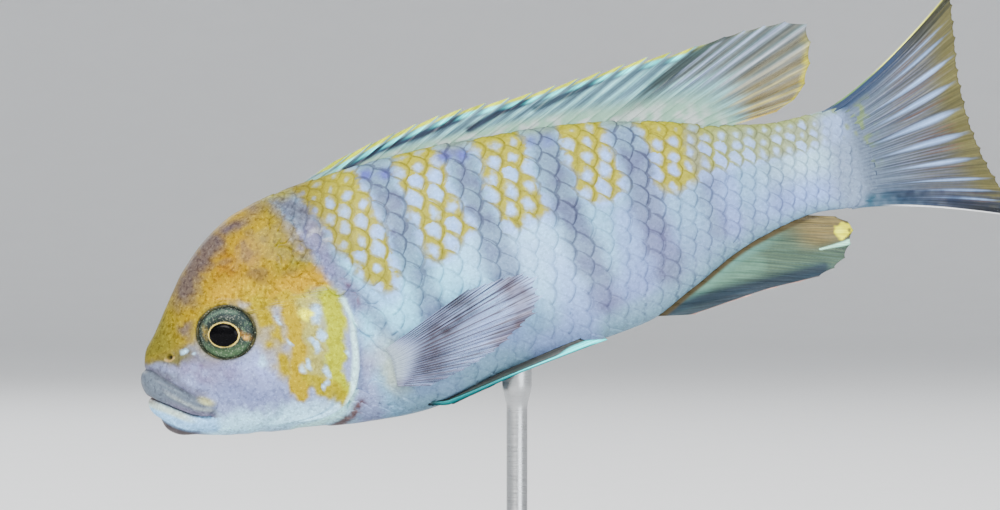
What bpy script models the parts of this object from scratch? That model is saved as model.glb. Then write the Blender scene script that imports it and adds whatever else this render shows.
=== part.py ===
"""Life-size display model of an afra cichlid, swimming head down on a plain stand.

The fish is modelled along its own axis: a runs from the snout to the tail, y to its right side and
h up its back, in millimetres. An empty then tips that axis nose down and lifts it over the base.
"""

import math

import bmesh
import bpy
import numpy as np
from mathutils import Matrix, Vector

MM = 0.001
GAP = 0.3
FIN_GAP = 0.35

# Driving sizes of the fish
LENGTH = 85.5
DEPTH = 29.3
WIDTH = 13.0
NOSE_A, NOSE_H = 0.9, -1.8
PITCH = math.radians(17.3)
SWAY, SWAY_START, SWAY_SPAN = 2.2, 45.0, 60.0

# Body stations: distance along the axis, back, belly, half width and level of the widest point,
# as shares of LENGTH, DEPTH, DEPTH, WIDTH and DEPTH
STATIONS = (
    (0.022, 0.094, -0.212, 0.190, -0.068),
    (0.042, 0.157, -0.256, 0.254, -0.061),
    (0.071, 0.256, -0.290, 0.315, -0.051),
    (0.106, 0.365, -0.320, 0.362, -0.034),
    (0.144, 0.447, -0.345, 0.404, -0.017),
    (0.193, 0.512, -0.374, 0.446, 0.000),
    (0.275, 0.546, -0.423, 0.496, 0.027),
    (0.363, 0.549, -0.450, 0.500, 0.034),
    (0.485, 0.530, -0.416, 0.442, 0.048),
    (0.592, 0.492, -0.394, 0.384, 0.055),
    (0.679, 0.444, -0.379, 0.323, 0.055),
    (0.751, 0.389, -0.305, 0.262, 0.048),
    (0.850, 0.281, -0.200, 0.181, 0.038),
    (0.936, 0.219, -0.166, 0.119, 0.024),
    (1.000, 0.213, -0.199, 0.077, 0.007),
)
# Roundness of the section, as an exponent: under 1 is boxy and over 1 is wedge-shaped
BACK_POWER = ((0.0, 0.95), (0.12, 0.80), (0.30, 0.95), (0.60, 1.15), (1.0, 1.20))
BELLY_POWER = ((0.0, 0.90), (0.12, 0.72), (0.30, 0.74), (0.60, 0.85), (1.0, 1.10))
BODY_RINGS, BODY_SIDES, RING_CROWDING = 44, 36, 1.5

# Cuts between head, torso and tail, in the side view
NAPE_CUT = (
    (22.0, 40.0),
    (21.0, 14.0),
    (20.3, 4.0),
    (20.0, -4.0),
    (17.5, -10.5),
    (15.5, -14.0),
    (14.5, -40.0),
)
TAIL_CUT = ((70.0, 40.0), (71.5, 0.0), (70.5, -40.0))
CUT_STEPS, CUT_HALF_WIDTH, CUT_AHEAD, CUT_BEHIND = 24, 30.0, -60.0, 200.0

# Gill cover: angle round the section from the back, its front edge and its rear edge
GILL_EDGES = (
    (79.0, 18.9, 19.9),
    (80.5, 18.6, 22.0),
    (84.0, 18.4, 24.0),
    (90.0, 18.3, 25.2),
    (100.0, 18.3, 25.8),
    (115.0, 18.1, 25.4),
    (130.0, 17.4, 24.2),
    (143.0, 16.4, 22.2),
    (151.0, 15.8, 19.8),
    (155.0, 15.9, 17.6),
)
GILL_LIFT, GILL_THICK, GILL_SEAT_HEIGHT = 0.45, 0.9, 2.5
GILL_ROWS, GILL_COLUMNS = 18, 6

# Eyes
EYE_A, EYE_H = 11.4, 2.2
EYE_RADIUS, EYE_HALF_DEPTH, EYE_SINK = 3.45, 1.75, 0.55
EYE_SEGMENTS, EYE_RINGS = 24, 10

# Lips: U-shaped rolls round the snout from corner to corner, each with its height and its depth
LIP_HALF_WIDTH, LIP_STEPS, LIP_SIDES = 3.55, 30, 12
UPPER_LIP = {"front": (0.98, -0.38), "corner": (6.6, -5.2), "height": 1.55, "depth": 0.98}
LOWER_LIP = {"front": (1.05, -3.30), "corner": (6.2, -7.1), "height": 1.00, "depth": 0.92}
# A lip narrows by LIP_TAPER along its way, and rounds off to a blunt end at each corner
LIP_TAPER, LIP_END, LIP_BLUNTNESS, LIP_FALL = 0.3, 0.85, 10, 0.85

NOSTRIL_A, NOSTRIL_H, NOSTRIL_RADIUS = 4.5, 1.4, 0.42

# Fins: half thickness of the membrane and of the rays, at the root and at the tip, and how far ray
# tips stand out of the edge. RAY_ROOT and RAY_TIP are half a ray's width as a share of the spacing.
MEMBRANE_HALF, RAY_HALF, RAY_BEYOND = (0.27, 0.13), (0.50, 0.17), 0.45
RAY_ROOT, RAY_TIP = 0.24, 0.12
# Each edge runs over the ray tips, from the front ray to the last one
DORSAL_EDGE = (
    (28.6, 17.1),
    (35.0, 18.1),
    (43.0, 18.7),
    (55.0, 18.0),
    (66.0, 18.0),
    (73.3, 17.5),
    (78.0, 17.6),
    (82.8, 17.3),
    (86.0, 15.9),
    (85.5, 13.2),
    (84.4, 10.8),
    (82.6, 8.6),
    (79.5, 7.5),
)
DORSAL_SPINES, DORSAL_RAYS = 17, 10
DORSAL_ROOT_SPLIT, DORSAL_EDGE_SPLIT = (24.0, 59.8, 61.2, 73.6), (0.0, 0.64, 0.69, 1.0)
ANAL_ROOT = (58.8, 78.6)
ANAL_EDGE = (
    (63.6, -11.9),
    (67.5, -11.8),
    (72.0, -11.7),
    (78.0, -12.0),
    (81.3, -11.3),
    (83.1, -9.6),
    (84.0, -7.6),
    (82.4, -5.9),
)
ANAL_RAYS, ANAL_LEAN = 11, 0.55
CAUDAL_EDGE = (
    (103.0, 15.2),
    (101.9, 9.8),
    (100.9, 5.0),
    (100.6, 0.5),
    (100.9, -4.0),
    (101.7, -8.0),
    (103.0, -12.5),
)
CAUDAL_RAYS, CAUDAL_FLARE = 16, 1.35
PECTORAL_ROOT = ((28.2, -5.1), (28.4, -9.5))
PECTORAL_EDGE = (
    (39.8, -1.2),
    (44.8, -1.1),
    (47.6, -1.8),
    (47.8, -3.8),
    (46.9, -5.7),
    (44.3, -7.2),
    (40.7, -8.9),
    (35.8, -10.1),
    (32.2, -10.6),
)
PECTORAL_RAYS, PECTORAL_OPEN = 14, 0.17
PELVIC_ROOT_A, PELVIC_ROOT_Y = (31.2, 33.4), (2.6, 1.5)
PELVIC_EDGE = ((53.0, 5.4), (49.6, 4.5), (45.2, 3.4), (41.4, 2.6), (38.6, 2.0))
PELVIC_RAYS, PELVIC_DROP = 6, 0.35
DORSAL_ROWS, CAUDAL_ROWS, FIN_ROWS = 5, 6, 6

# Stand
BASE_LENGTH, BASE_WIDTH, BASE_HEIGHT = 66.0, 40.0, 6.0
BASE_SEGMENTS, BASE_SQUARENESS, BASE_BEVEL = 48, 2.6, 1.0
ROD_A, ROD_RADIUS, COLLAR_RADIUS, COLLAR_HEIGHT, SADDLE_RADIUS = 42.0, 1.2, 3.2, 1.2, 1.7
SNOUT_HEIGHT = 29.0
ROD_SEGMENTS = 24


def smooth(points, x):
    """Monotone cubic curve through (x, y) points: it never swings past them."""
    px, py = (np.array(column, float) for column in zip(*points))
    step, slope = np.diff(px), np.diff(py) / np.diff(px)
    tangent = np.concatenate(([slope[0]], np.zeros(len(slope) - 1), [slope[-1]]))
    same = slope[:-1] * slope[1:] > 0
    ahead, behind = 2 * step[1:] + step[:-1], step[1:] + 2 * step[:-1]
    safe = np.where(same, slope[:-1], 1.0), np.where(same, slope[1:], 1.0)
    tangent[1:-1] = np.where(same, (ahead + behind) / (ahead / safe[0] + behind / safe[1]), 0.0)
    x = np.clip(x, px[0], px[-1])
    k = np.clip(np.searchsorted(px, x, side="right") - 1, 0, len(step) - 1)
    t = (x - px[k]) / step[k]
    rise = py[k + 1] * (3 - 2 * t) * t**2 + py[k] * (1 + 2 * t) * (1 - t) ** 2
    return rise + step[k] * (tangent[k] * t * (1 - t) ** 2 - tangent[k + 1] * t**2 * (1 - t))


def on_edge(points):
    """Function that turns shares of the way along an outline into points of a smooth curve through it."""
    points = np.array(points, float)
    reach = np.concatenate(([0], np.cumsum(np.linalg.norm(np.diff(points, axis=0), axis=1))))
    knots = reach / reach[-1]
    return lambda share: np.stack([smooth(list(zip(knots, column)), share) for column in points.T], axis=1)


def station(column, a):
    """One column of the body's stations at a, smoothed in the root of the distance for a round nose."""
    start = {1: NOSE_H, 2: NOSE_H, 3: 0.0, 4: NOSE_H}[column]
    scale = (LENGTH, DEPTH, DEPTH, WIDTH, DEPTH)
    rows = [(0.0, start)]
    for row in STATIONS:
        rows.append((math.sqrt(row[0] * scale[0] - NOSE_A), row[column] * scale[column]))
    return smooth(rows, np.sqrt(np.maximum(np.asarray(a, float) - NOSE_A, 0.0)))


def flank(a, angle):
    """Point of the skin at a, angle degrees round the section from the back: (a, y, h), y positive."""
    a, turn = np.broadcast_arrays(np.asarray(a, float), np.radians(angle))
    upper = np.cos(turn) >= 0
    share = a / LENGTH
    power = np.where(upper, smooth(BACK_POWER, share), smooth(BELLY_POWER, share))
    level = station(4, a)
    reach = np.where(upper, station(1, a) - level, level - station(2, a))
    y = station(3, a) * np.abs(np.sin(turn)) ** power
    return np.stack([a, y, level + reach * np.cos(turn)], axis=-1)


def half_width(a, h):
    """Distance from the middle plane to the skin at a and h."""
    a, h = np.broadcast_arrays(np.asarray(a, float), np.asarray(h, float))
    level, share = station(4, a), a / LENGTH
    upper = h >= level
    reach = np.where(upper, station(1, a) - level, level - station(2, a))
    power = np.where(upper, smooth(BACK_POWER, share), smooth(BELLY_POWER, share))
    cosine = np.clip((h - level) / reach, -1, 1)
    return station(3, a) * np.sqrt(1 - cosine**2) ** power


def belly(a, y):
    """Height of the underside at a, y millimetres from the middle plane."""
    power = smooth(BELLY_POWER, np.asarray(a, float) / LENGTH)
    sine = np.clip(np.abs(y) / station(3, a), 0, 1) ** (1 / power)
    level = station(4, a)
    return level - (level - station(2, a)) * np.sqrt(1 - sine**2)


def swayed(points):
    """The tail swings gently to the fish's right: y grows with the square of the distance behind mid-body."""
    points = np.array(points, float)
    points[..., 1] += SWAY * (np.clip(points[..., 0] - SWAY_START, 0, None) / SWAY_SPAN) ** 2
    return points


def material(name, colour, roughness, metallic=0.0):
    made = bpy.data.materials.get(name) or bpy.data.materials.new(name)
    made.use_nodes = True
    shader = made.node_tree.nodes["Principled BSDF"]
    shader.inputs["Base Color"].default_value = (*colour, 1.0)
    shader.inputs["Roughness"].default_value = roughness
    shader.inputs["Metallic"].default_value = metallic
    return made


def solid(name, points, faces, finish):
    """A closed mesh object from points in millimetres, its faces turned outwards."""
    mesh = bpy.data.meshes.new(name)
    mesh.from_pydata((np.asarray(points, float) * MM).tolist(), [], faces)
    shape = bmesh.new()
    shape.from_mesh(mesh)
    bmesh.ops.recalc_face_normals(shape, faces=shape.faces)
    if shape.calc_volume(signed=True) < 0:
        bmesh.ops.reverse_faces(shape, faces=shape.faces)
    shape.to_mesh(mesh)
    shape.free()
    mesh.materials.append(finish)
    made = bpy.data.objects.new(name, mesh)
    bpy.context.scene.collection.objects.link(made)
    return made


def combine(target, operation, others):
    """Applies one Boolean of the other closed objects to target, then removes them."""
    group = bpy.data.collections.new("cutters")
    bpy.context.scene.collection.children.link(group)
    for other in others:
        group.objects.link(other)
    modifier = target.modifiers.new("join", "BOOLEAN")
    modifier.operation = operation
    modifier.operand_type = "COLLECTION"
    modifier.collection = group
    graph = bpy.context.evaluated_depsgraph_get()
    graph.update()
    mesh = bpy.data.meshes.new_from_object(target.evaluated_get(graph))
    target.modifiers.clear()
    target.data = mesh
    for other in others:
        bpy.data.objects.remove(other)
    bpy.data.collections.remove(group)
    keep_largest(target)


def keep_largest(target):
    """Keeps the closed surface with the largest volume."""
    shape = bmesh.new()
    shape.from_mesh(target.data)
    unseen, parts = set(shape.verts), []
    while unseen:
        found, front = set(), [unseen.pop()]
        while front:
            vert = front.pop()
            found.add(vert)
            for edge in vert.link_edges:
                other = edge.other_vert(vert)
                if other in unseen:
                    unseen.discard(other)
                    front.append(other)
        parts.append(found)

    def volume(part):
        faces = {face for vert in part for face in vert.link_faces}
        return sum(
            face.verts[0].co.dot(face.verts[k].co.cross(face.verts[k + 1].co))
            for face in faces
            for k in range(1, len(face.verts) - 1)
        )

    largest = max(parts, key=volume)
    bmesh.ops.delete(shape, geom=[vert for vert in shape.verts if vert not in largest], context="VERTS")
    shape.to_mesh(target.data)
    shape.free()


def copy_of(source, name):
    made = bpy.data.objects.new(name, source.data.copy())
    bpy.context.scene.collection.objects.link(made)
    return made


def loft(rings):
    """Faces of a tube through equal rings, both ends closed by one face."""
    count, sides = rings.shape[:2]
    faces = []
    for i in range(count - 1):
        for j in range(sides):
            k = (j + 1) % sides
            faces.append((i * sides + j, i * sides + k, (i + 1) * sides + k, (i + 1) * sides + j))
    faces.append(tuple(range(sides)))
    faces.append(tuple(range((count - 1) * sides, count * sides)))
    return faces


def body():
    """The whole trunk from snout to tail root as one closed skin."""
    turn = np.linspace(0, 360, BODY_SIDES, endpoint=False)
    side = np.where(turn <= 180, 1.0, -1.0)
    share = (np.arange(BODY_RINGS) + 0.35) / (BODY_RINGS - 0.65)
    a = NOSE_A + (LENGTH - NOSE_A) * share**RING_CROWDING
    rings = flank(a[:, None], np.where(turn <= 180, turn, 360 - turn)[None, :])
    rings[..., 1] *= side
    return solid("torso", swayed(rings).reshape(-1, 3), loft(rings), FLANK)


def lip(shape):
    """A flattened roll on a half ellipse in plan, running down and back to both corners of the mouth."""
    swing = np.linspace(-90, 90, LIP_STEPS)
    front, corner = np.array(shape["front"]), np.array(shape["corner"])
    back = 1 - np.cos(np.radians(swing))
    centre = np.stack(
        [
            front[0] + (corner[0] - front[0]) * back,
            LIP_HALF_WIDTH * np.sin(np.radians(swing)),
            front[1] + (corner[1] - front[1]) * back**LIP_FALL,
        ],
        axis=1,
    )
    fade = np.sqrt(1 - LIP_END * np.abs(swing / 90) ** LIP_BLUNTNESS) * (1 - LIP_TAPER * back)
    tangent = np.gradient(centre, axis=0)
    tangent /= np.linalg.norm(tangent, axis=1)[:, None]
    across = np.cross(tangent, [0.0, 0.0, 1.0])
    across /= np.linalg.norm(across, axis=1)[:, None]
    over = np.cross(across, tangent)
    turn = np.linspace(0, 2 * np.pi, LIP_SIDES, endpoint=False)
    wide = shape["depth"] * np.cos(turn)[None, :, None] * across[:, None]
    high = shape["height"] * np.sin(turn)[None, :, None] * over[:, None]
    rings = centre[:, None] + fade[:, None, None] * (wide + high)
    return solid("lip", rings.reshape(-1, 3), loft(rings), FLANK)


def gill_plate(name, side, grow):
    """The gill cover on one side. grow swells it all round, to cut its seat in the body."""
    top, bottom = GILL_EDGES[0][0] - 2 * grow / GAP, GILL_EDGES[-1][0] + 2 * grow / GAP
    angle = top + (bottom - top) * (1 - np.cos(np.linspace(0, np.pi, GILL_ROWS))) / 2
    front = smooth([(row[0], row[1]) for row in GILL_EDGES], angle) - grow
    rear = smooth([(row[0], row[2]) for row in GILL_EDGES], angle) + grow
    share = np.linspace(0, 1, GILL_COLUMNS)
    a = front[:, None] + (rear - front)[:, None] * share
    skin = flank(a, angle[:, None])
    step = 0.01
    ahead = flank(a + step, angle[:, None]) - skin
    round_section = flank(a, angle[:, None] + step) - skin
    outward = np.cross(round_section, ahead)
    outward /= np.linalg.norm(outward, axis=2)[..., None]
    outward *= np.where(outward[..., 1:2] < 0, -1.0, 1.0)
    lift = GILL_LIFT * share**1.5 if grow == 0 else np.full(GILL_COLUMNS, GILL_SEAT_HEIGHT)
    outer = skin + outward * lift[None, :, None]
    inner = skin - outward * (GILL_THICK + grow)
    points = np.concatenate([outer.reshape(-1, 3), inner.reshape(-1, 3)])
    points[:, 1] *= side
    return solid(name, points, shell_faces(GILL_ROWS, GILL_COLUMNS), CHEEK)


def shell_faces(rows, columns):
    """Triangles of two equal grids of rows x columns points and the rim between them, cut alike on both."""
    faces, second = [], rows * columns
    for i in range(rows - 1):
        for j in range(columns - 1):
            p, q = i * columns + j, i * columns + j + 1
            r, s = q + columns, p + columns
            faces += [(p, q, r), (p, r, s)]
            faces += [(second + p, second + r, second + q), (second + p, second + s, second + r)]
    rim = list(range(columns))
    rim += [i * columns + columns - 1 for i in range(1, rows)]
    rim += [(rows - 1) * columns + j for j in range(columns - 2, -1, -1)]
    rim += [i * columns for i in range(rows - 2, 0, -1)]
    for p, q in zip(rim, rim[1:] + rim[:1]):
        faces += [(p, second + p, second + q), (p, second + q, q)]
    return faces


def rayed(roots_at, tips_at, root_shares, tip_shares, rows):
    """Middle surface and half thickness of a fin: a column on each ray and one at each of its feet.

    roots_at and tips_at turn shares of the root and of the edge into points; the shares are the rays'.
    """
    low, high, peak = [], [], []
    for i in range(len(root_shares)):
        for side in (-1, 0, 1):
            j = i + side
            if not 0 <= j < len(root_shares):
                continue
            low.append(root_shares[i] + RAY_ROOT * (root_shares[j] - root_shares[i]))
            high.append(tip_shares[i] + RAY_TIP * (tip_shares[j] - tip_shares[i]))
            peak.append(side == 0)
    roots, tips = roots_at(np.array(low)), tips_at(np.array(high))
    peak = np.array(peak)
    beyond = tips - roots
    beyond *= RAY_BEYOND / np.linalg.norm(beyond, axis=1)[:, None]
    tips = tips + beyond * peak[:, None]
    share = np.linspace(0, 1, rows)[:, None]
    ridge = RAY_HALF[0] + (RAY_HALF[1] - RAY_HALF[0]) * share
    web = MEMBRANE_HALF[0] + (MEMBRANE_HALF[1] - MEMBRANE_HALF[0]) * share**3
    half = np.where(peak[None, :], ridge, web)
    return roots, tips, half


def fin(name, centre, half, across, finish):
    """A fin from its middle surface, a grid of points, and its half thickness at each, set off along across."""
    rows, columns = half.shape
    offset = np.asarray(across, float) * half[..., None]
    points = np.concatenate([(centre + offset).reshape(-1, 3), (centre - offset).reshape(-1, 3)])
    return solid(name, swayed(points), shell_faces(rows, columns), finish)


def rows_between(roots, tips, rows, flare=1.0):
    """Grid of points from the roots to the tips. Over 1, flare bends the rows towards the tips late."""
    share = np.linspace(0, 1, rows)[:, None, None]
    grid = roots[None] * (1 - share) + tips[None] * share
    grid[..., 2] = (roots[None] * (1 - share**flare) + tips[None] * share**flare)[..., 2]
    return grid


def in_plane(a, h):
    """Points at a and h on the middle plane."""
    return np.stack([a, np.zeros_like(a), h], axis=1)


def dorsal_fin():
    """Spines that lean far back, then longer soft rays. Its root follows the back."""
    front, split, after, rear = DORSAL_ROOT_SPLIT
    first, last, soft, end = DORSAL_EDGE_SPLIT
    roots = np.concatenate([np.linspace(front, split, DORSAL_SPINES), np.linspace(after, rear, DORSAL_RAYS)])
    tips = np.concatenate([np.linspace(first, last, DORSAL_SPINES), np.linspace(soft, end, DORSAL_RAYS)])
    edge = on_edge(DORSAL_EDGE)
    low, high, half = rayed(
        lambda a: in_plane(a, station(1, a) + FIN_GAP),
        lambda share: in_plane(*edge(share).T),
        roots,
        tips,
        DORSAL_ROWS,
    )
    return fin("dorsal_fin", rows_between(low, high, DORSAL_ROWS), half, (0, 1, 0), FIN)


def anal_fin():
    """Three spines and soft rays that lean back along the belly's rise."""
    share = np.linspace(0, 1, ANAL_RAYS)
    roots = ANAL_ROOT[0] + (ANAL_ROOT[1] - ANAL_ROOT[0]) * share
    edge = on_edge(ANAL_EDGE)
    low, high, half = rayed(
        lambda a: in_plane(a, station(2, a) - FIN_GAP),
        lambda share: in_plane(*edge(share).T),
        roots,
        share**ANAL_LEAN,
        FIN_ROWS,
    )
    return fin("anal_fin", rows_between(low, high, FIN_ROWS), half, (0, 1, 0), FIN)


def caudal_fin():
    """A spread fan from the end of the tail, its outer rays bending outwards."""
    share = np.linspace(0, 1, CAUDAL_RAYS)
    top, bottom = float(station(1, LENGTH)), float(station(2, LENGTH))
    edge = on_edge(CAUDAL_EDGE)
    low, high, half = rayed(
        lambda share: in_plane(np.full(len(share), LENGTH + GAP), top + (bottom - top) * share),
        lambda share: in_plane(*edge(share).T),
        share,
        share,
        CAUDAL_ROWS,
    )
    return fin("caudal_fin", rows_between(low, high, CAUDAL_ROWS, CAUDAL_FLARE), half, (0, 1, 0), FIN)


def pectoral_fin(name, side):
    """A fan on the flank behind the gill cover that opens away from the body towards its tips."""
    share = np.linspace(0, 1, PECTORAL_RAYS)
    root, edge = on_edge(PECTORAL_ROOT), on_edge(PECTORAL_EDGE)

    def on_flank(share):
        a, h = root(share).T
        return np.stack([a, half_width(a, h) + GAP + RAY_HALF[0], h], axis=1)

    def at_tip(share):
        a, h = edge(share).T
        start = on_flank(share)
        reach = np.hypot(a - start[:, 0], h - start[:, 2])
        return np.stack([a, start[:, 1] + PECTORAL_OPEN * reach, h], axis=1)

    low, high, half = rayed(on_flank, at_tip, share, share, FIN_ROWS)
    grid = rows_between(low, high, FIN_ROWS)
    grid[..., 1] *= side
    return fin(name, grid, half, (0, 1, 0), FIN)


def pelvic_fin(name, side):
    """A narrow fin folded back under the belly, its spine along the outer edge."""
    share = np.linspace(0, 1, PELVIC_RAYS)
    edge = on_edge(PELVIC_EDGE)

    def under_belly(share):
        a = PELVIC_ROOT_A[0] + (PELVIC_ROOT_A[1] - PELVIC_ROOT_A[0]) * share
        y = PELVIC_ROOT_Y[0] + (PELVIC_ROOT_Y[1] - PELVIC_ROOT_Y[0]) * share
        return np.stack([a, y, belly(a, y) - GAP - RAY_HALF[0]], axis=1)

    def at_tip(share):
        a, y = edge(share).T
        return np.stack([a, y, belly(a, 0) - GAP - PELVIC_DROP], axis=1)

    low, high, half = rayed(under_belly, at_tip, share, share, FIN_ROWS)
    grid = rows_between(low, high, FIN_ROWS)
    level = belly(grid[..., 0], grid[..., 1] * np.linspace(1, 0, FIN_ROWS)[:, None] ** 0.5)
    grid[..., 2] = np.minimum(grid[..., 2], level - GAP - half)
    grid[..., 1] *= side
    return fin(name, grid, half, (0, 0, 1), FIN)


def eye_frame(side):
    """Place and outward direction of an eye, square to the skin round it."""
    step = 1.2
    y = float(half_width(EYE_A, EYE_H))
    slope_a = float(half_width(EYE_A + step, EYE_H) - half_width(EYE_A - step, EYE_H)) / (2 * step)
    slope_h = float(half_width(EYE_A, EYE_H + step) - half_width(EYE_A, EYE_H - step)) / (2 * step)
    outward = Vector((-slope_a, 1.0, -slope_h)).normalized()
    centre = Vector((EYE_A, y, EYE_H)) - outward * EYE_SINK
    return Vector((centre.x, side * centre.y, centre.z)), Vector((outward.x, side * outward.y, outward.z))


def eyeball(name, side, grow, finish):
    """A flattened ball whose short axis looks outwards."""
    centre, outward = eye_frame(side)
    turn = outward.to_track_quat("Z", "Y").to_matrix()
    lean = np.linspace(0, np.pi, EYE_RINGS + 1)[1:-1]
    spin = np.linspace(0, 2 * np.pi, EYE_SEGMENTS, endpoint=False)
    rings = np.stack(
        [
            (EYE_RADIUS + grow) * np.sin(lean)[:, None] * np.cos(spin),
            (EYE_RADIUS + grow) * np.sin(lean)[:, None] * np.sin(spin),
            (EYE_HALF_DEPTH + grow) * np.repeat(np.cos(lean)[:, None], EYE_SEGMENTS, axis=1),
        ],
        axis=2,
    )
    points = rings.reshape(-1, 3) @ np.array(turn).T + np.array(centre)
    return solid(name, points, loft(rings), finish)


def nostril(side):
    y = float(half_width(NOSTRIL_A, NOSTRIL_H))
    shape = bmesh.new()
    bmesh.ops.create_icosphere(shape, subdivisions=2, radius=NOSTRIL_RADIUS)
    shape.transform(Matrix.Translation((NOSTRIL_A, side * y, NOSTRIL_H)))
    points = np.array([vert.co for vert in shape.verts])
    faces = [tuple(vert.index for vert in face.verts) for face in shape.faces]
    shape.free()
    return solid("pit", points, faces, FLANK)


def region(edge, forward):
    """A thick slab over all in front of, or behind, a curve in the side view, half a gap short of it."""
    line = on_edge(edge)(np.linspace(0, 1, CUT_STEPS))
    line[:, 0] += -GAP / 2 if forward else GAP / 2
    far = CUT_AHEAD if forward else CUT_BEHIND
    outline = np.concatenate([line, [(far, line[-1, 1]), (far, line[0, 1])]])
    rings = np.stack([np.insert(outline, 1, y, axis=1) for y in (-CUT_HALF_WIDTH, CUT_HALF_WIDTH)])
    return solid("region", rings.reshape(-1, 3), loft(rings), FLANK)


def flesh():
    """Head, torso and tail: one body with its lips, sockets and seats, parted by thin cuts."""
    whole = body()
    combine(whole, "UNION", [lip(UPPER_LIP), lip(LOWER_LIP)])
    cutters = [gill_plate("seat", side, GAP) for side in (-1, 1)]
    cutters += [eyeball("socket", side, GAP, FLANK) for side in (-1, 1)]
    cutters += [nostril(side) for side in (-1, 1)]
    combine(whole, "DIFFERENCE", cutters)
    head, tail = copy_of(whole, "head"), copy_of(whole, "tail")
    combine(head, "INTERSECT", [region(NAPE_CUT, True)])
    combine(tail, "INTERSECT", [region(TAIL_CUT, False)])
    combine(whole, "INTERSECT", [region(NAPE_CUT, False)])
    combine(whole, "INTERSECT", [region(TAIL_CUT, True)])
    head.data.materials.clear()
    head.data.materials.append(CHEEK)
    return [head, whole, tail]


def to_world(a, y, h):
    """A point of the fish in the stand's frame, where the rod's foot is at the origin."""
    x = a * math.cos(PITCH) - h * math.sin(PITCH)
    foot = ROD_A * math.cos(PITCH) - float(belly(ROD_A, 0)) * math.sin(PITCH)
    return x - foot, y, SNOUT_HEIGHT + a * math.sin(PITCH) + h * math.cos(PITCH)


def belly_over(x, y):
    """Height of the belly above a spot of the base, found by stepping along the fish's axis."""
    a = ROD_A
    for _ in range(20):
        a -= (to_world(a, y, float(belly(a, y)))[0] - x) / math.cos(PITCH)
    return to_world(a, y, float(belly(a, y)))[2]


def stand_base():
    """An oval plate with a bevelled top edge."""
    turn = np.linspace(0, 2 * np.pi, BASE_SEGMENTS, endpoint=False)
    power = 2 / BASE_SQUARENESS
    oval = np.stack(
        [
            np.sign(np.cos(turn)) * np.abs(np.cos(turn)) ** power,
            np.sign(np.sin(turn)) * np.abs(np.sin(turn)) ** power,
        ],
        axis=1,
    )
    half = np.array([BASE_LENGTH, BASE_WIDTH]) / 2
    levels = ((0.0, 0.0), (0.0, BASE_HEIGHT - BASE_BEVEL), (BASE_BEVEL, BASE_HEIGHT))
    rings = np.stack([np.insert(oval * (half - inset), 2, z, axis=1) for inset, z in levels])
    return solid("stand_base", rings.reshape(-1, 3), loft(rings), WOOD)


def stand_rod():
    """A turned steel rod with a collar at its foot and a flared saddle whose top follows the belly."""
    turn = np.linspace(0, 2 * np.pi, ROD_SEGMENTS, endpoint=False)
    circle = np.stack([np.cos(turn), np.sin(turn)], axis=1)
    foot, top = BASE_HEIGHT + GAP, belly_over(0, 0) - GAP
    profile = (
        (COLLAR_RADIUS, foot),
        (COLLAR_RADIUS, foot + COLLAR_HEIGHT - 0.3),
        (COLLAR_RADIUS - 0.3, foot + COLLAR_HEIGHT),
        (ROD_RADIUS, foot + COLLAR_HEIGHT + 0.6),
        (ROD_RADIUS, top - 4.0),
        (SADDLE_RADIUS, top - 1.6),
    )
    rings = [np.insert(circle * radius, 2, z, axis=1) for radius, z in profile]
    for share in (1.0, 0.5):
        ring = circle * SADDLE_RADIUS * share
        rings.append(np.array([(x, y, belly_over(x, y) - GAP) for x, y in ring]))
    rings = np.stack(rings)
    return solid("stand_rod", rings.reshape(-1, 3), loft(rings), STEEL)


for old in list(bpy.data.objects):
    bpy.data.objects.remove(old)

FLANK = material("pale lavender skin", (0.60, 0.63, 0.86), 0.35)
CHEEK = material("yellow cheek skin", (0.80, 0.66, 0.10), 0.38)
FIN = material("blue grey fin", (0.42, 0.52, 0.62), 0.40)
EYE = material("dark eye", (0.02, 0.03, 0.04), 0.08)
WOOD = material("black base", (0.03, 0.03, 0.03), 0.45)
STEEL = material("brushed steel", (0.60, 0.60, 0.60), 0.30, 1.0)

axis = bpy.data.objects.new("fish_axis", None)
bpy.context.scene.collection.objects.link(axis)
axis.location = Vector(to_world(0.0, 0.0, 0.0)) * MM
axis.rotation_euler = (0.0, -PITCH, 0.0)

fish = flesh()
fish += [gill_plate(f"gill_cover_{word}", side, 0.0) for word, side in (("left", -1), ("right", 1))]
fish += [eyeball(f"eye_{word}", side, 0.0, EYE) for word, side in (("left", -1), ("right", 1))]
fish += [dorsal_fin(), anal_fin(), caudal_fin()]
fish += [pectoral_fin(f"pectoral_fin_{word}", side) for word, side in (("left", -1), ("right", 1))]
fish += [pelvic_fin(f"pelvic_fin_{word}", side) for word, side in (("left", -1), ("right", 1))]
for piece in fish:
    piece.parent = axis

for piece in fish + [stand_base(), stand_rod()]:
    piece.data.shade_smooth()
    piece.data.set_sharp_from_angle(angle=math.radians(35))
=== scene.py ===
"""Looks of a life-size afra cichlid on a plain display stand.

The fish is worked out along its own axis: a runs from the snout to the tail, y to its right side and
h up its back, in millimetres. to_world() tips that axis nose down and lifts it over the base.
"""

import math
from functools import partial

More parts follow.
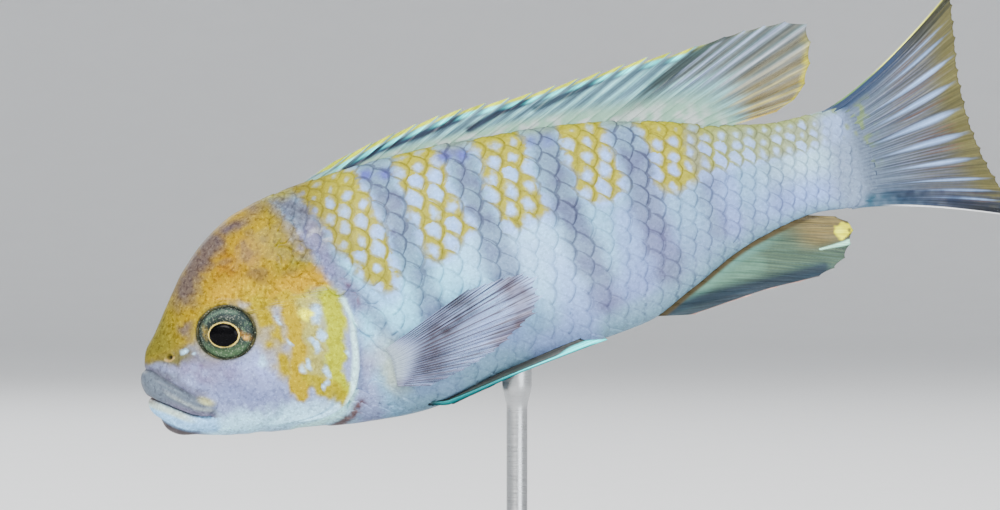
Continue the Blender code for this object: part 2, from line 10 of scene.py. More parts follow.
import bpy
import numpy as np
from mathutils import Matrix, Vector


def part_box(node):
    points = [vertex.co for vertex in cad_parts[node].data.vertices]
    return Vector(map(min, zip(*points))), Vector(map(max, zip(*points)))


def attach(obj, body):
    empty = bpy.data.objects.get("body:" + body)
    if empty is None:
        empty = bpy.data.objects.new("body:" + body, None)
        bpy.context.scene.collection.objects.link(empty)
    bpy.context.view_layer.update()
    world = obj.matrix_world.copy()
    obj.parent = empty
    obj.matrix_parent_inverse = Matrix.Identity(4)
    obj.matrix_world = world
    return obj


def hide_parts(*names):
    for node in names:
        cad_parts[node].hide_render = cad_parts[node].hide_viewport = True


bl_info = {
    "name": "Afra Cichlid Display Model",
    "version": (1, 0, 0),
    "blender": (4, 5, 0),
    "location": "View3D > Sidebar > Cichlid",
    "description": "Builds the skin, scales, eyes, fins and stand of a display fish",
    "category": "Add Mesh",
}

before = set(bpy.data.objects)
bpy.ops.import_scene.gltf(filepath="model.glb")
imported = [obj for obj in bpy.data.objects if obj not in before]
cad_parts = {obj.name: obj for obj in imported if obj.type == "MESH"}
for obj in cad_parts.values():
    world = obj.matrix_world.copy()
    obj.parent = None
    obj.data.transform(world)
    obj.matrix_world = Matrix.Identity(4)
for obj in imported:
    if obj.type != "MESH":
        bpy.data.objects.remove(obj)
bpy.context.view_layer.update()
BASE_LOW, BASE_HIGH = (np.array(corner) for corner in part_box("stand_base"))

MM = 0.001
ROD_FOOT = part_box("stand_rod")[0][2] / MM
SIDES = (("left", -1), ("right", 1))

# Body of the fish, as in the solids
LENGTH, DEPTH, WIDTH = 85.5, 29.3, 13
NOSE_A, NOSE_H = 0.9, -1.8
PITCH = math.radians(17.3)
SWAY, SWAY_START, SWAY_SPAN = 2.2, 45, 60
SNOUT_HEIGHT, ROD_A = 29, 42
# Each station's place along the axis, back, belly, half width and level of the widest point, as shares
# of the length, depth or width, and the columns that hold the last four
BACK, UNDER, HALF, LEVEL = 1, 2, 3, 4
STATIONS = (
    (0.022, 0.094, -0.212, 0.190, -0.068),
    (0.042, 0.157, -0.256, 0.254, -0.061),
    (0.071, 0.256, -0.290, 0.315, -0.051),
    (0.106, 0.365, -0.320, 0.362, -0.034),
    (0.144, 0.447, -0.345, 0.404, -0.017),
    (0.193, 0.512, -0.374, 0.446, 0.000),
    (0.275, 0.546, -0.423, 0.496, 0.027),
    (0.363, 0.549, -0.450, 0.500, 0.034),
    (0.485, 0.530, -0.416, 0.442, 0.048),
    (0.592, 0.492, -0.394, 0.384, 0.055),
    (0.679, 0.444, -0.379, 0.323, 0.055),
    (0.751, 0.389, -0.305, 0.262, 0.048),
    (0.850, 0.281, -0.200, 0.181, 0.038),
    (0.936, 0.219, -0.166, 0.119, 0.024),
    (1.000, 0.213, -0.199, 0.077, 0.007),
)
BACK_POWER = ((0, 0.95), (0.12, 0.80), (0.30, 0.95), (0.60, 1.15), (1, 1.20))
BELLY_POWER = ((0, 0.90), (0.12, 0.72), (0.30, 0.74), (0.60, 0.85), (1, 1.10))

# Gill cover: angle round the section from the back and how far back its free edge lies there
GILL_EDGE = (
    (0, 20.5), (60, 19.6), (79, 19.9), (80.5, 22), (84, 24), (90, 25.2), (100, 25.8),
    (115, 25.4), (130, 24.2), (143, 22.2), (151, 19.8), (155, 17.6), (166, 15.6), (180, 15),
)
GILL_BASE, GILL_LIFT = 25, 0.45

EYE_A, EYE_H = 11.65, 2.15
EYE_RADIUS, EYE_SQUASH, EYE_HALF_DEPTH, EYE_SINK = 3.45, 0.905, 1.75, 0.55
NOSTRIL = (4.5, 1.4)
# Height of the upper lip over the mouth line, at its front and what it gains to its rear
LIP_HEIGHT = (2.75, -0.9)
MOUTH = ((0.3, -1.75), (1.8, -3.1), (3.7, -4.7), (5.1, -5.8), (6.9, -6.5))

# Fins: each edge runs over the ray tips, from the front ray to the last one
DORSAL_EDGE = (
    (28.6, 17.1), (35, 18.1), (43, 18.7), (55, 18), (66, 18), (73.3, 17.5), (78, 17.6),
    (82.8, 17.3), (86, 15.9), (85.5, 13.2), (84.4, 10.8), (82.6, 8.6), (79.5, 7.5),
)
# The part of that edge along which a grows
DORSAL_TOP = DORSAL_EDGE[:9]
DORSAL_SPINES, DORSAL_RAYS = 17, 10
DORSAL_ROOT_SPLIT, DORSAL_EDGE_SPLIT = (24, 59.8, 61.2, 73.6), (0, 0.64, 0.69, 1)
ANAL_ROOT = (58.8, 78.6)
ANAL_EDGE = (
    (63.6, -11.9), (67.5, -11.8), (72, -11.7), (78, -12), (81.3, -11.3), (83.1, -9.6), (84, -7.6),
    (82.4, -5.9),
)
ANAL_RAYS, ANAL_LEAN = 11, 0.55
# Height of the anal fin's edge, which its bands of colour follow
ANAL_BAND = (
    (58.8, -11.3), (63.6, -11.95), (67.5, -11.85), (72, -11.75), (78, -12.05), (81.3, -11.3), (84, -9)
)
CAUDAL_EDGE = (
    (103, 15.2), (101.9, 9.8), (100.9, 5), (100.6, 0.5), (100.9, -4), (101.7, -8), (103, -12.5),
)
CAUDAL_RAYS, CAUDAL_FLARE = 16, 1.35
PECTORAL_ROOT = ((28.2, -5.1), (28.4, -9.5))
PECTORAL_EDGE = (
    (39.8, -1.2), (44.8, -1.1), (47.6, -1.8), (47.8, -3.8), (46.9, -5.7), (44.3, -7.2), (40.7, -8.9),
    (35.8, -10.1), (32.2, -10.6),
)
PECTORAL_RAYS, PECTORAL_OPEN = 14, 0.17
# Fleshy base of the pectoral fin: centre, half length and half height, turn, softness, and how far it swells
PECTORAL_BASE, PECTORAL_SWELL = ((28.5, -7.3), (1.9, 3), 0, 0.6), 0.55
PELVIC_ROOT_A, PELVIC_ROOT_Y = (31.2, 33.4), (2.6, 1.5)
PELVIC_EDGE = ((53, 5.4), (49.6, 4.5), (45.2, 3.4), (41.4, 2.6), (38.6, 2))
PELVIC_RAYS, PELVIC_FACE = 6, (0, 0.35, 0.94)

# Scales: spacing along a row at places along the fish, and how rows sit against each other
SCALE_STEP = (
    (12, 1.15), (20, 1.5), (28, 2), (36, 2.28), (55, 2.2), (68, 1.85), (76, 1.6), (88, 1.15)
)
ROW_SHARE, ROW_SHIFT, LATERAL_SHARE = 0.92, -0.3, 0.42
SCALE_LONG, SCALE_HIGH, SCALE_ROOT = 1.1, 1.06, 0.75
COAT_DEPTH, ROOT_DEPTH = 0.12, 0.22
SCALE_FRONT = (
    (0, 15.5), (0.2, 17), (0.33, 19.5), (0.40, 24), (0.46, 26.8), (0.62, 26.9), (0.78, 26), (0.9, 21.5),
    (1, 17.5),
)
# Points to a side of the lattice of random values that the soft noise is read from
LATTICE = 64


# The view's tone curve and the way it mixes channels, undone by two matrices and a power law
VIEW_OUT = np.array(((0.626, 0.307, 0.067), (0.098, 0.868, 0.034), (0.092, 0.194, 0.714)))
VIEW_IN = np.array(((1.799, -0.686, -0.113), (-0.233, 1.424, -0.191), (-0.163, -0.272, 1.435)))
TONE_GAIN, TONE_POWER, TONE_SHOULDER = 0.5265, 0.7705, 1.33
LIGHT, DARKEST, LIGHTEST = 2.8, 0.004, 0.92


def seen(*values):
    """Surface colour that shows as this one, given in steps from 0 to 255, in the light of the stage."""
    share = np.array(values, float) / 255
    tone = VIEW_OUT @ np.where(share <= 0.04045, share / 12.92, ((share + 0.055) / 1.055) ** 2.4)
    surface = VIEW_IN @ (TONE_GAIN * tone**TONE_POWER / (1 - tone) ** TONE_SHOULDER) / LIGHT
    return tuple(np.clip(surface, DARKEST, LIGHTEST))


# Shape of the fish


def smooth(points, x):
    """Monotone cubic curve through (x, y) points: it never swings past them."""
    px, py = (np.array(column, float) for column in zip(*points))
    step, slope = np.diff(px), np.diff(py) / np.diff(px)
    tangent = np.concatenate(([slope[0]], np.zeros(len(slope) - 1), [slope[-1]]))
    same = slope[:-1] * slope[1:] > 0
    ahead, behind = 2 * step[1:] + step[:-1], step[1:] + 2 * step[:-1]
    safe = np.where(same, slope[:-1], 1), np.where(same, slope[1:], 1)
    tangent[1:-1] = np.where(same, (ahead + behind) / (ahead / safe[0] + behind / safe[1]), 0)
    x = np.clip(x, px[0], px[-1])
    k = np.clip(np.searchsorted(px, x, side="right") - 1, 0, len(step) - 1)
    t = (x - px[k]) / step[k]
    rise = py[k + 1] * (3 - 2 * t) * t**2 + py[k] * (1 + 2 * t) * (1 - t) ** 2
    return rise + step[k] * (tangent[k] * t * (1 - t) ** 2 - tangent[k + 1] * t**2 * (1 - t))


def on_edge(points):
    """Function that turns shares of the way along an outline into points of a smooth curve through it."""
    points = np.array(points, float)
    reach = np.concatenate(([0], np.cumsum(np.linalg.norm(np.diff(points, axis=0), axis=1))))
    knots = reach / reach[-1]
    return lambda share: np.stack([smooth(list(zip(knots, column)), share) for column in points.T], axis=-1)


def station(column, a):
    """One column of the body's stations at a, smoothed in the root of the distance for a round nose."""
    start, scale = (0, WIDTH) if column == HALF else (NOSE_H, DEPTH)
    rows = [(0, start)]
    rows += [(math.sqrt(row[0] * LENGTH - NOSE_A), row[column] * scale) for row in STATIONS]
    return smooth(rows, np.sqrt(np.maximum(np.asarray(a, float) - NOSE_A, 0)))


def section(a, upper):
    """Level of the widest point at a, and the reach and power of the section's upper or lower half."""
    level, share = station(LEVEL, a), a / LENGTH
    reach = np.where(upper, station(BACK, a) - level, level - station(UNDER, a))
    return level, reach, np.where(upper, smooth(BACK_POWER, share), smooth(BELLY_POWER, share))


def flank(a, angle):
    """Point of the body at a, angle degrees round the section from the back, y positive.

    y is the half width times a power of the sine; h is the level plus the reach times the cosine.
    """
    a, turn = np.broadcast_arrays(np.asarray(a, float), np.radians(angle))
    level, reach, power = section(a, np.cos(turn) >= 0)
    y = station(HALF, a) * np.abs(np.sin(turn)) ** power
    return np.stack([a, y, level + reach * np.cos(turn)], axis=-1)


def half_width(a, h):
    """Distance from the middle plane to the body at a and h."""
    a, h = np.broadcast_arrays(np.asarray(a, float), np.asarray(h, float))
    level, reach, power = section(a, h >= station(LEVEL, a))
    cosine = np.clip((h - level) / reach, -1, 1)
    return station(HALF, a) * np.sqrt(1 - cosine**2) ** power


def belly(a, y):
    """Height of the underside at a, y millimetres from the middle plane."""
    level, reach, power = section(np.asarray(a, float), False)
    sine = np.clip(np.abs(y) / station(HALF, a), 0, 1) ** (1 / power)
    return level - reach * np.sqrt(1 - sine**2)


FOOT = ROD_A * math.cos(PITCH) - float(belly(ROD_A, 0)) * math.sin(PITCH)


def to_world(points):
    """Fish millimetres to the frame's metres: swayed, tipped by PITCH and set over the rod's foot."""
    a, y, h = np.moveaxis(np.asarray(points, float), -1, 0)
    y = y + SWAY * (np.clip(a - SWAY_START, 0, None) / SWAY_SPAN) ** 2
    x = a * math.cos(PITCH) - h * math.sin(PITCH) - FOOT
    z = SNOUT_HEIGHT + a * math.sin(PITCH) + h * math.cos(PITCH)
    return np.stack([x, y, z], axis=-1) * MM


TABLE_RINGS, TABLE_STEPS = 200, 160
ROOTS = np.linspace(0.02, math.sqrt(LENGTH - NOSE_A), TABLE_RINGS)


def girth_table():
    """Length of the half section at each of ROOTS, and the angles that divide it into equal steps."""
    fine = np.linspace(0, 180, 901)
    rings = flank((NOSE_A + ROOTS**2)[:, None], fine)
    arc = np.zeros(rings.shape[:2])
    arc[:, 1:] = np.cumsum(np.linalg.norm(np.diff(rings, axis=1), axis=2), axis=1)
    turns = [np.interp(np.linspace(0, row[-1], TABLE_STEPS + 1), row, fine) for row in arc]
    return arc[:, -1], np.stack(turns)


GIRTH, TURNS = girth_table()


def turn_at(a, w):
    """Angle at a for share w of the half section's length, read between the table's lines."""
    a, w = np.broadcast_arrays(np.asarray(a, float), np.asarray(w, float))
    root = np.sqrt(np.clip(a - NOSE_A, ROOTS[0] ** 2, ROOTS[-1] ** 2))
    i = (root - ROOTS[0]) / (ROOTS[1] - ROOTS[0])
    i0 = np.clip(i.astype(int), 0, TABLE_RINGS - 2)
    j = np.clip(w, 0, 1) * TABLE_STEPS
    j0 = np.clip(j.astype(int), 0, TABLE_STEPS - 1)
    fi, fj = i - i0, j - j0
    low = TURNS[i0, j0] * (1 - fj) + TURNS[i0, j0 + 1] * fj
    high = TURNS[i0 + 1, j0] * (1 - fj) + TURNS[i0 + 1, j0 + 1] * fj
    return low * (1 - fi) + high * fi


def girth(a):
    """Length of the half section at a."""
    return np.interp(np.sqrt(np.maximum(np.asarray(a, float) - NOSE_A, 0)), ROOTS, GIRTH)


def unit(vectors):
    """Vectors brought to length 1."""
    return vectors / np.maximum(np.linalg.norm(vectors, axis=-1, keepdims=True), 1e-9)


def tube_normals(rings):
    """Outward normals of a closed tube whose rings run tailwards, each from the back round the right side."""
    padded = np.concatenate([rings[:, -2:], rings, rings[:, :2]], axis=1)
    return unit(np.cross(np.gradient(padded, axis=0), np.gradient(padded, axis=1))[:, 2:-2])


def skin_normal(a, w):
    """Outward unit normal of the body on its right side at a and share w."""
    step_a, step_w = 0.05, 0.002
    ahead = flank(a + step_a, turn_at(a + step_a, w)) - flank(a - step_a, turn_at(a - step_a, w))
    down = flank(a, turn_at(a, w + step_w)) - flank(a, turn_at(a, w - step_w))
    normal = unit(np.cross(down, ahead))
    return normal * np.where(normal[..., 1:2] < 0, -1, 1)


def eye_ring(a, h):
    """Distance from the eye's centre in the side view, drawn out so that the eye's oval is a circle."""
    x = (a - EYE_A) * math.cos(PITCH) - (h - EYE_H) * math.sin(PITCH)
    y = (a - EYE_A) * math.sin(PITCH) + (h - EYE_H) * math.cos(PITCH)
    return np.hypot(x, y / EYE_SQUASH)


def eye_frame():
    """Centre of the right eye, its outward direction, and the level and upright directions in its plane."""
    step = 1.2
    y = float(half_width(EYE_A, EYE_H))
    slope_a = float(half_width(EYE_A + step, EYE_H) - half_width(EYE_A - step, EYE_H)) / (2 * step)
    slope_h = float(half_width(EYE_A, EYE_H + step) - half_width(EYE_A, EYE_H - step)) / (2 * step)
    outward = unit(np.array([-slope_a, 1, -slope_h]))
    back = unit(np.array([1, 0, 0]) - outward[0] * outward)
    up = np.cross(back, outward)
    up *= np.sign(up[2])
    level = back * math.cos(PITCH) - up * math.sin(PITCH)
    upright = back * math.sin(PITCH) + up * math.cos(PITCH)
    return np.array([EYE_A, y, EYE_H]) - outward * EYE_SINK, outward, level, upright


# Painting helpers: every mask is a share from 0 to 1


def ramp(low, high, x):
    """Smooth step from 0 at low to 1 at high."""
    t = np.clip((x - low) / (high - low), 0, 1)
    return t * t * (3 - 2 * t)


def bell(x, width):
    """Bell curve: 1 at 0, and 0.37 at width to either side."""
    return np.exp(-((x / width) ** 2))


def cycle(x):
    """Wave that is 1 at whole numbers and 0 halfway between them."""
    return 0.5 + 0.5 * np.cos(2 * np.pi * x)


def surface(colour):
    """A colour as an array: a tuple is a shown colour for seen(), an array is a surface colour already."""
    return np.array(seen(*colour)) if isinstance(colour, tuple) else colour


def plain(colour, shape):
    """One colour at every point of a grid of that shape."""
    return np.broadcast_to(surface(colour), shape + (3,))


def lay(base, colour, mask):
    """Lays a colour over another by a mask."""
    return base + (surface(colour) - base) * np.clip(mask, 0, 1)[..., None]


class Coat:
    """Colours of all the points of a surface. Each call lays one more colour over them by a mask."""

    def __init__(self, hue):
        self.hue = hue

    def __call__(self, colour, mask):
        self.hue = lay(self.hue, colour, mask)


def waves(a, h, size, seed):
    """Soft noise from -1 to 1 with humps about size millimetres wide, from a seeded lattice of values."""
    grid = np.random.default_rng(seed).uniform(-1, 1, (LATTICE, LATTICE))
    x, y = np.asarray(a) / size + 17.3, np.asarray(h) / size + 31.7
    i, j = np.floor(x).astype(int), np.floor(y).astype(int)
    fx, fy = ramp(0, 1, x - i), ramp(0, 1, y - j)

    def row(q):
        left, right = grid[i % LATTICE, (j + q) % LATTICE], grid[(i + 1) % LATTICE, (j + q) % LATTICE]
        return left * (1 - fx) + right * fx

    return (row(0) * (1 - fy) + row(1) * fy) * 1.4


def segments(a, h, path):
    """Distance from each segment of a path in the side view, the side, 1 above it, and the share along it."""
    path = np.array(path, float)
    lengths = np.linalg.norm(np.diff(path, axis=0), axis=1)
    reach = np.concatenate(([0], np.cumsum(lengths))) / lengths.sum()
    for k, start in enumerate(path[:-1]):
        run, da, dh = path[k + 1] - start, a - start[0], h - start[1]
        t = np.clip((da * run[0] + dh * run[1]) / (run @ run), 0, 1)
        gap = np.hypot(da - t * run[0], dh - t * run[1])
        yield gap, np.sign(run[0] * dh - run[1] * da), reach[k] + (reach[k + 1] - reach[k]) * t


def stroke(a, h, path, wide, soft=0.5):
    """Mask of a brush stroke along a path. wide is its half width at the start and at the end."""
    mask = np.zeros(np.shape(a))
    for gap, _, share in segments(a, h, path):
        half = wide[0] + (wide[1] - wide[0]) * share
        mask = np.maximum(mask, 1 - ramp(half * (1 - soft), half * (1 + soft), gap))
    return mask


def strokes(a, h, rows):
    """Mask of several strokes, each with its path, half widths, softness and strength."""
    return np.max([stroke(a, h, path, wide, soft) * strength for path, wide, soft, strength in rows], axis=0)


def beside(a, h, path):
    """Signed distance from a line in the side view, positive above it, and the share along it."""
    best, sign, share = np.full(np.shape(a), 1e9), np.ones(np.shape(a)), np.zeros(np.shape(a))
    for gap, side, along in segments(a, h, path):
        nearer = gap < best
        best, sign, share = np.where(nearer, (gap, side, along), (best, sign, share))
    return best * np.where(sign == 0, 1, sign), share


def blob(a, h, centre, size, turn=0, soft=0.5):
    """Mask of a soft oval: centre, half length and half height, turned by degrees."""
    c, s = math.cos(math.radians(turn)), math.sin(math.radians(turn))
    da, dh = a - centre[0], h - centre[1]
    gap = np.hypot((da * c + dh * s) / size[0], (-da * s + dh * c) / size[1])
    return 1 - ramp(1 - soft, 1 + soft, gap)


# Markings, shared by the skin and the scales

NET_FLOOR = (
    (14, 9), (22, 7.5), (26.8, 6.5), (28.7, 2.6), (31, 0.6), (34.5, 3.5), (38.1, 2.2), (42.5, 4.5),
    (46.5, 3.2), (50.8, 3.6), (54.3, 5.2), (57, 2.8), (61.8, 4.5), (65.5, 1.8), (70, 3), (76, 2.4),
    (84, 2.2),
)
BARS = (
    (((33.1, 16.5), (34, 9.3), (34.5, 4.9), (34.8, 0), (35.4, -4.5)), (2.1, 1.4), 0.95),
    (((22.4, 15.2), (24.9, 9.1), (26.3, 3.9), (28, -0.3), (30.2, -4.5)), (1.6, 0.9), 0.85),
    (((43, 15.5), (43.1, 9.5), (43.9, 6.2), (43.9, 2), (44.4, -3.5)), (2.1, 1.5), 0.95),
    (((52.3, 14.5), (53, 6.4), (53.3, 1.5), (54.3, -7)), (2.1, 1.7), 0.95),
    (((61.5, 12.5), (62.3, 5.3), (61.9, 0), (62.3, -6)), (2, 1.7), 0.85),
    (((69.4, 9.5), (69.3, 2.5), (69.3, -3)), (1.5, 1.2), 0.5),
    (((77.2, 6.5), (77.3, 1.2), (77, -2.5)), (1.4, 1.1), 0.3),
)


def setting(name):
    """One of the main colours, as an array."""
    return np.array(getattr(bpy.context.scene.cichlid_colours, name))


def markings(a, h):
    """Colours of the scales' middles and edges, the edges' strength and half width, and the net's share."""
    pale, lilac, bar, yellow, sky, dark = map(setting, ("pale", "lilac", "bar", "yellow", "sky", "net"))
    back, under = station(BACK, np.minimum(a, LENGTH)), station(UNDER, np.minimum(a, LENGTH))
    up = (h - under) / (back - under)
    soft = waves(a, h, 4, 3)

    # Lavender rises behind mid-body; the middle of the flank is palest
    coat = Coat(plain(pale, a.shape))
    coat(lilac, ramp(46, 62, a) * 0.8 * (1 - ramp(74, 84, a)) * (1 - 0.45 * ramp(0.62, 0.9, up)))
    coat(lilac, ramp(0.45, 0.12, up) * 0.85 * ramp(20, 30, a))
    coat((208, 221, 244), blob(a, h, (47, 0.5), (8, 5), -30, 0.8) * 0.8)
    coat((196, 208, 214), ramp(73, 80, a) * 0.85)
    coat((176, 194, 220), ramp(0.55, 0.2, up) * ramp(72, 78, a) * 0.8)
    coat((168, 190, 198), ramp(0.2, 0, up) * 0.8 * ramp(24, 32, a))
    coat((178, 186, 220), ramp(0.10, 0.8, soft) * 0.35)
    coat((170, 184, 198), ramp(81, 85, a + 0.8 * soft))
    bars = np.zeros(np.shape(a))
    wobble = 0.35 * waves(a, h, 1.7, 5)
    for path, wide, strength in BARS:
        low, high = path[-1][1], path[0][1]
        fade = 0.62 + 0.38 * ramp(low, low + 0.6 * (high - low), h)
        bars = np.maximum(bars, stroke(a + wobble, h, path, wide, 0.55) * strength * fade)
    coat(bar, bars * 0.9)
    coat((150, 134, 166), bars * ramp(3, -3, h) * 0.5)
    coat((122, 118, 166), bars * ramp(0.1, 0.7, waves(a, h, 1.4, 18)) * 0.5)
    coat((120, 110, 128), bars * ramp(29, 25, a) * ramp(4, 9, h) * 0.85)

    # The yellow net hangs from the back between the bars
    floor = smooth(NET_FLOOR, a) + 0.5 * wobble
    net = ramp(-0.6, 0.9, h - floor) * (1 - ramp(0.35, 0.75, bars)) * ramp(13, 17, a)
    net *= 1 - 0.3 * ramp(68, 76, a) - 0.4 * ramp(83, 85, a)
    top = ramp(3.2, 0.6, back - h)
    coat(sky, net * 0.75)
    rear = ramp(66, 74, a)
    coat(yellow, net * top * 0.55 * (1 - rear))
    coat((188, 200, 214), net * rear * 0.6)
    nape = ramp(31, 22, a) * ramp(0, 3, h)
    mottled = lay(plain((164, 154, 110), a.shape), (138, 130, 148), ramp(-0.1, 0.5, waves(a, h, 1.5, 17)))
    coat(mottled, nape * net * 0.9)
    coat(yellow, net * ramp(33, 26, a) * 0.35 * ramp(-0.3, 0.4, soft))
    spots = np.zeros(np.shape(a))
    for da in (-1, 1.1):
        for (_, under_top, *_), _, _ in BARS[:1] + BARS[2:5]:
            high = station(BACK, under_top[0]) - 1.6 - 0.3 * da
            spots = np.maximum(spots, blob(a, h, (under_top[0] + da - 0.8, high), (0.75, 0.65), 0, 0.6))
    coat((122, 138, 202), spots * ramp(70, 40, a) * 0.85)
    coat((176, 190, 170), ramp(1.2, 0.2, back - h) * 0.6 * ramp(30, 44, a))

    edge = Coat(coat.hue * 0.52)
    edge(dark, bars * 0.9)
    edge((136, 136, 176), ramp(2, -4, h) * (1 - bars) * 0.5)
    strength = 0.24 + 0.18 * ramp(54, 68, a) + 0.1 * ramp(-2, 3, h) + 0.35 * bars
    edge(lay(plain(yellow, a.shape), (160, 142, 58), nape), net)
    strength = (strength + (0.97 - strength) * net) * ramp(86, 82, a)
    edge((172, 178, 88), net * rear * 0.7)
    half = 0.11 + 0.03 * bars + net * (0.30 + 0.22 * top) * (1 - 0.35 * rear)
    return coat.hue, edge.hue, strength, half, net


# Heights over which the head is ochre
CROWN_FLOOR = ((0, 2.6), (2, 2), (4, 1.7), (8, 2.6), (12, 4.6), (17, 3.6), (23.5, 3.4))
# Golden and lime fields of the gill cover: path, half width, colour and strength
GILL_FIELDS = (
    (((21.4, 2.8), (21, -1.4), (20.2, -4.6), (20.6, -7)), (1.4, 1.3), (198, 188, 92), 0.85),
    (((19.5, 3.6), (19.1, 0), (18.6, -2.9), (18, -5.3), (17.5, -7.4)), (1.15, 0.85), (200, 180, 68), 1),
    (((24, 2.6), (23.8, -0.7), (23.1, -2.7), (22.5, -4.6), (22.3, -6.6), (22.5, -8.8)),
     (1.25, 1.05), (202, 198, 84), 1),
    (((19, -5.8), (20.9, -7.5), (22.3, -8.8)), (0.8, 1), (196, 182, 76), 0.95),
)
# Pale spots between them, and painted highlights on the snout and cheek: centre, and half length and half
# height
GILL_SPOTS = (
    ((22, 1), (0.62, 1)), ((20.9, -1.9), (0.42, 0.9)), ((19.9, -3.9), (0.35, 0.55)),
    ((21.3, -5.4), (0.5, 0.8)), ((22, -1.2), (0.4, 0.7)), ((20.7, -6.8), (0.3, 0.5)),
    ((23.9, -4.2), (0.35, 0.5)), ((17.9, -1.2), (0.2, 0.45)), ((17.6, 1.9), (0.2, 0.55)),
)
GLINT_SPOTS = (
    ((6.4, 1.5), (0.45, 0.3)), ((7.7, 0.8), (0.28, 0.22)), ((14.7, -2.1), (0.7, 0.45)),
    ((18.9, -4.3), (0.4, 0.5)),
)
GILL_RIM = (
    (25.5, 1.9), (25.85, -0.6), (25.4, -3.4), (24.6, -6.2), (23.4, -8.8), (21.6, -10.5), (18.6, -11.1),
    (15.5, -10.9),
)
# Fold in front of the gill cover
CHEEK_FOLD = ((18.2, 2.4), (18.5, -0.4), (18.3, -3), (17.2, -6.6), (14.6, -9), (11, -10.2))


